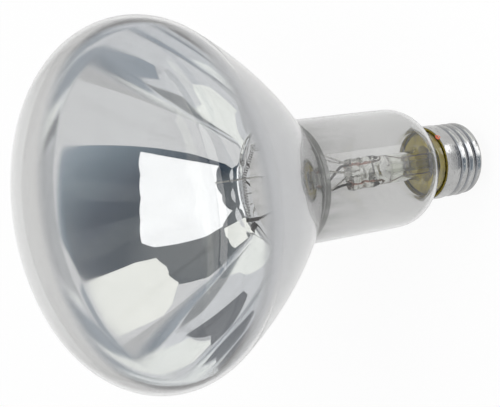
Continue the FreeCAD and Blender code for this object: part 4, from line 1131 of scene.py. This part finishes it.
class HEATLAMP_OT_stage(bpy.types.Operator):
    """Set up the floor, the soft light, the boards and the camera."""

    bl_idname = "heat_lamp.stage"
    bl_label = "Stage"

    def execute(self, context):
        stage = context.scene.lamp_stage
        self.add_floor(stage)
        self.add_world(context, stage)
        self.add_light(context, stage)
        self.add_boards()
        self.add_cards_met_twice()
        self.add_low_cards()
        self.add_camera(context, stage)
        context.scene.view_settings.view_transform = "Standard"
        return {"FINISHED"}

    def add_floor(self, stage):
        """Pale floor that looks white to the camera, glass and mirrors, and keeps part of its shadow."""
        mesh = bmesh.new()
        bmesh.ops.create_grid(mesh, x_segments=1, y_segments=1, size=8.0)
        bmesh.ops.translate(mesh, verts=mesh.verts, vec=(0.0, 0.0, CAD_BOX[0].z))
        floor = finished_mesh("floor", mesh)
        finish = Finish("pale floor", Base_Color=stage.floor, Roughness=0.9, Specular_IOR_Level=0.1)
        white = finish.node("ShaderNodeEmission", {"Color": (1.0, 1.0, 1.0), "Strength": 1.0})
        finish.mixed_result(finish.looked_at() * stage.white, finish.shader, white)
        floor.data.materials.append(finish.material)

    def add_world(self, context, stage):
        """White surroundings, which give less light than they show."""
        world = bpy.data.worlds.new("white surroundings")
        world.use_nodes = True
        nodes = Nodes(world.node_tree, "ShaderNodeOutputWorld")
        strength = nodes.looked_at() * (1.0 - stage.sky) + stage.sky
        nodes.result(nodes.node("ShaderNodeBackground", {"Strength": strength}))
        context.scene.world = world

    def add_light(self, context, stage):
        """Large soft light that casts the shadow and isn't seen itself."""
        light = bpy.data.lights.new("large soft light", "AREA")
        light.shape = "RECTANGLE"
        light.size, light.size_y = 1.4, 1.0
        light.energy = stage.key
        lamp = bpy.data.objects.new("large soft light", light)
        place = direction(-70.0, 62.0) * 1.4
        lamp.location = place
        lamp.rotation_mode = "QUATERNION"
        lamp.rotation_quaternion = (-place).to_track_quat("-Z", "Y")
        for ray in ("camera", "glossy", "transmission"):
            setattr(lamp, f"visible_{ray}", False)
        context.scene.collection.objects.link(lamp)

    def add_boards(self):
        """Boards that the mirror shows at once, the farthest first."""
        studio_board("pale screen", [
            (-179, 3), (-90, 3), (-1, 3), (-1, 45), (-30, 72), (-90, 78), (-150, 72), (-179, 45)],
            [(0, (1.1, 1.1, 1.1)), (1, (1.15, 1.15, 1.15))], distance=3.2, more=1.0)
        studio_board("slate cloth", [
            (-120, 9), (-130, 15), (-137, 23), (-141, 29), (-143.5, 34), (-145, 39), (-141, 46), (-136, 48.4),
            (-104, 53), (-65, 52), (-33, 45), (-8, 37), (-1, 30), (-4, 26), (-17, 26), (-35, 28), (-46, 21.5),
            (-52, 20), (-59, 18.5), (-70, 13), (-80, 4), (-100, 3)],
            [(0.06, (1.1, 1.1, 1.1)), (0.21, (0.40, 0.49, 0.57)), (0.33, (0.20, 0.27, 0.33)),
             (0.50, (0.06, 0.09, 0.135)), (0.62, (0.055, 0.08, 0.11)), (0.70, (0.21, 0.23, 0.245)),
             (0.85, (0.28, 0.29, 0.295))], distance=3.0, lean=0.268)
        studio_board("white screen", [
            (-138, 32.5), (-137, 39), (-136, 46), (-116, 48.8), (-89, 51), (-58, 49.8), (-42, 44.4),
            (-41, 40.7), (-45.6, 38), (-53, 34.5), (-60, 33.7), (-79, 36.1), (-97, 36.9), (-118, 35.7)],
            plain((1.9, 1.9, 1.9)), distance=2.9)
        studio_board("cream card", [
            (-48.4, 21.5), (-47.5, 29.8), (-43.9, 32.6), (-34, 31.4), (-16, 26.6), (-5, 20), (-1.7, 16.7),
            (-4.4, 14.6), (-7.4, 12.5), (-18, 15.2), (-34, 18.5)], plain(CREAM))
        studio_board("blue cloth", [
            (-50, 19), (-34, 16), (-18, 12.8), (-7, 10.5), (8, 6), (8, 3), (-20, 4), (-45, 9)],
            plain(PALE_BLUE))
        studio_board("small cream card", [
            (-38.6, 43.8), (-38, 46.4), (-20, 41.5), (-7, 35.5), (-8.4, 33.6), (-24, 39.7)], plain(CREAM))
        studio_board("tall cream card", [
            (-165, 46), (-150, 50), (-130, 62), (-90, 70), (-50, 66), (-9, 54), (-5, 62), (-40, 78),
            (-124, 80), (-150, 66), (-168, 54)], plain(CREAM), more=1.0)

    def add_cards_met_twice(self):
        """Boards that show only in what the mirror reflects of itself."""
        for name, tint, distance, corners in (
            ("cream card", CREAM, 2.6, [
                (-85, 19), (-75, 36), (-65, 44), (-44, 45), (-10, 33), (-8, 26), (-29, 30), (-60, 24)]),
            ("slate cloth", (0.24, 0.25, 0.27), 2.5, [
                (-52, 47.5), (-44, 45.2), (-20, 38), (-6, 29), (-1, 31), (-12, 46), (-22, 52), (-35, 48.5)]),
            ("grey cloth", (0.45, 0.46, 0.46), 2.5, [
                (-60, 56), (-66, 52), (-100, 50), (-120, 60), (-100, 76), (-68, 73), (-62, 64)]),
            ("blue cloth", PALE_BLUE, 2.5, [
                (-140, 12), (-139, 36.5), (-143, 40), (-144, 43.5), (-126, 52), (-100, 50), (-80, 46),
                (-75, 36), (-85, 19), (-88, 8), (-110, 8)]),
        ):
            studio_board(f"{name} met twice", corners, plain(tint), distance, once=0.0, more=1.0)

    def add_low_cards(self):
        low_card("card before the neck", (-92, -55), (60, 14), (60, 59), (2.7, 2.7, 2.7))
        low_card("card before the cap", (-76, -58), (22, 14.7), (22, 16.9), (4.0, 4.0, 4.0))
        low_card("slate card under the cap", (-118, -56), (17.5, 0.3), (34, 0.3), (0.12, 0.14, 0.18))

    def add_camera(self, context, stage):
        camera = bpy.data.cameras.new("camera")
        camera.lens = stage.lens
        camera.sensor_width = 36.0
        camera.clip_start, camera.clip_end = 0.01, 50.0
        viewer = bpy.data.objects.new("camera", camera)
        back = Vector((0.0, -math.cos(stage.elevation), math.sin(stage.elevation)))
        upright = (-back).to_track_quat("-Z", "Y").to_matrix()
        turned = upright @ Matrix.Rotation(-stage.roll, 3, "Z")
        viewer.matrix_world = Matrix.Translation(Vector(stage.aim) + back * stage.distance) @ turned.to_4x4()
        context.scene.collection.objects.link(viewer)
        context.scene.camera = viewer


class HEATLAMP_PT_pieces(bpy.types.Panel):
    """Buttons that build the lamp piece by piece."""

    bl_label = "Heat Lamp"
    bl_idname = "HEATLAMP_PT_pieces"
    bl_space_type = "VIEW_3D"
    bl_region_type = "UI"
    bl_category = "Heat Lamp"

    def draw(self, context):
        for operator in OPERATORS:
            self.layout.operator(operator.bl_idname)


SETTINGS = {
    "lamp_bulb": BulbSettings,
    "lamp_stem": StemSettings,
    "lamp_filament": FilamentSettings,
    "lamp_cap": CapSettings,
    "lamp_stage": StageSettings,
}
OPERATORS = (
    HEATLAMP_OT_bulb,
    HEATLAMP_OT_stem,
    HEATLAMP_OT_wires,
    HEATLAMP_OT_filament,
    HEATLAMP_OT_cap,
    HEATLAMP_OT_cement,
    HEATLAMP_OT_stage,
)
CLASSES = (*SETTINGS.values(), *OPERATORS, HEATLAMP_PT_pieces)


def register():
    for group in CLASSES:
        bpy.utils.register_class(group)
    for name, group in SETTINGS.items():
        setattr(bpy.types.Scene, name, PointerProperty(type=group))


def unregister():
    for name in SETTINGS:
        delattr(bpy.types.Scene, name)
    for group in reversed(CLASSES):
        bpy.utils.unregister_class(group)


def main():
    register()
    bpy.ops.heat_lamp.bulb()
    bpy.ops.heat_lamp.stem()
    bpy.ops.heat_lamp.wires()
    bpy.ops.heat_lamp.filament()
    bpy.ops.heat_lamp.cap()
    bpy.ops.heat_lamp.cement()
    bpy.ops.heat_lamp.stage()


if __name__ == "__main__":
    main()
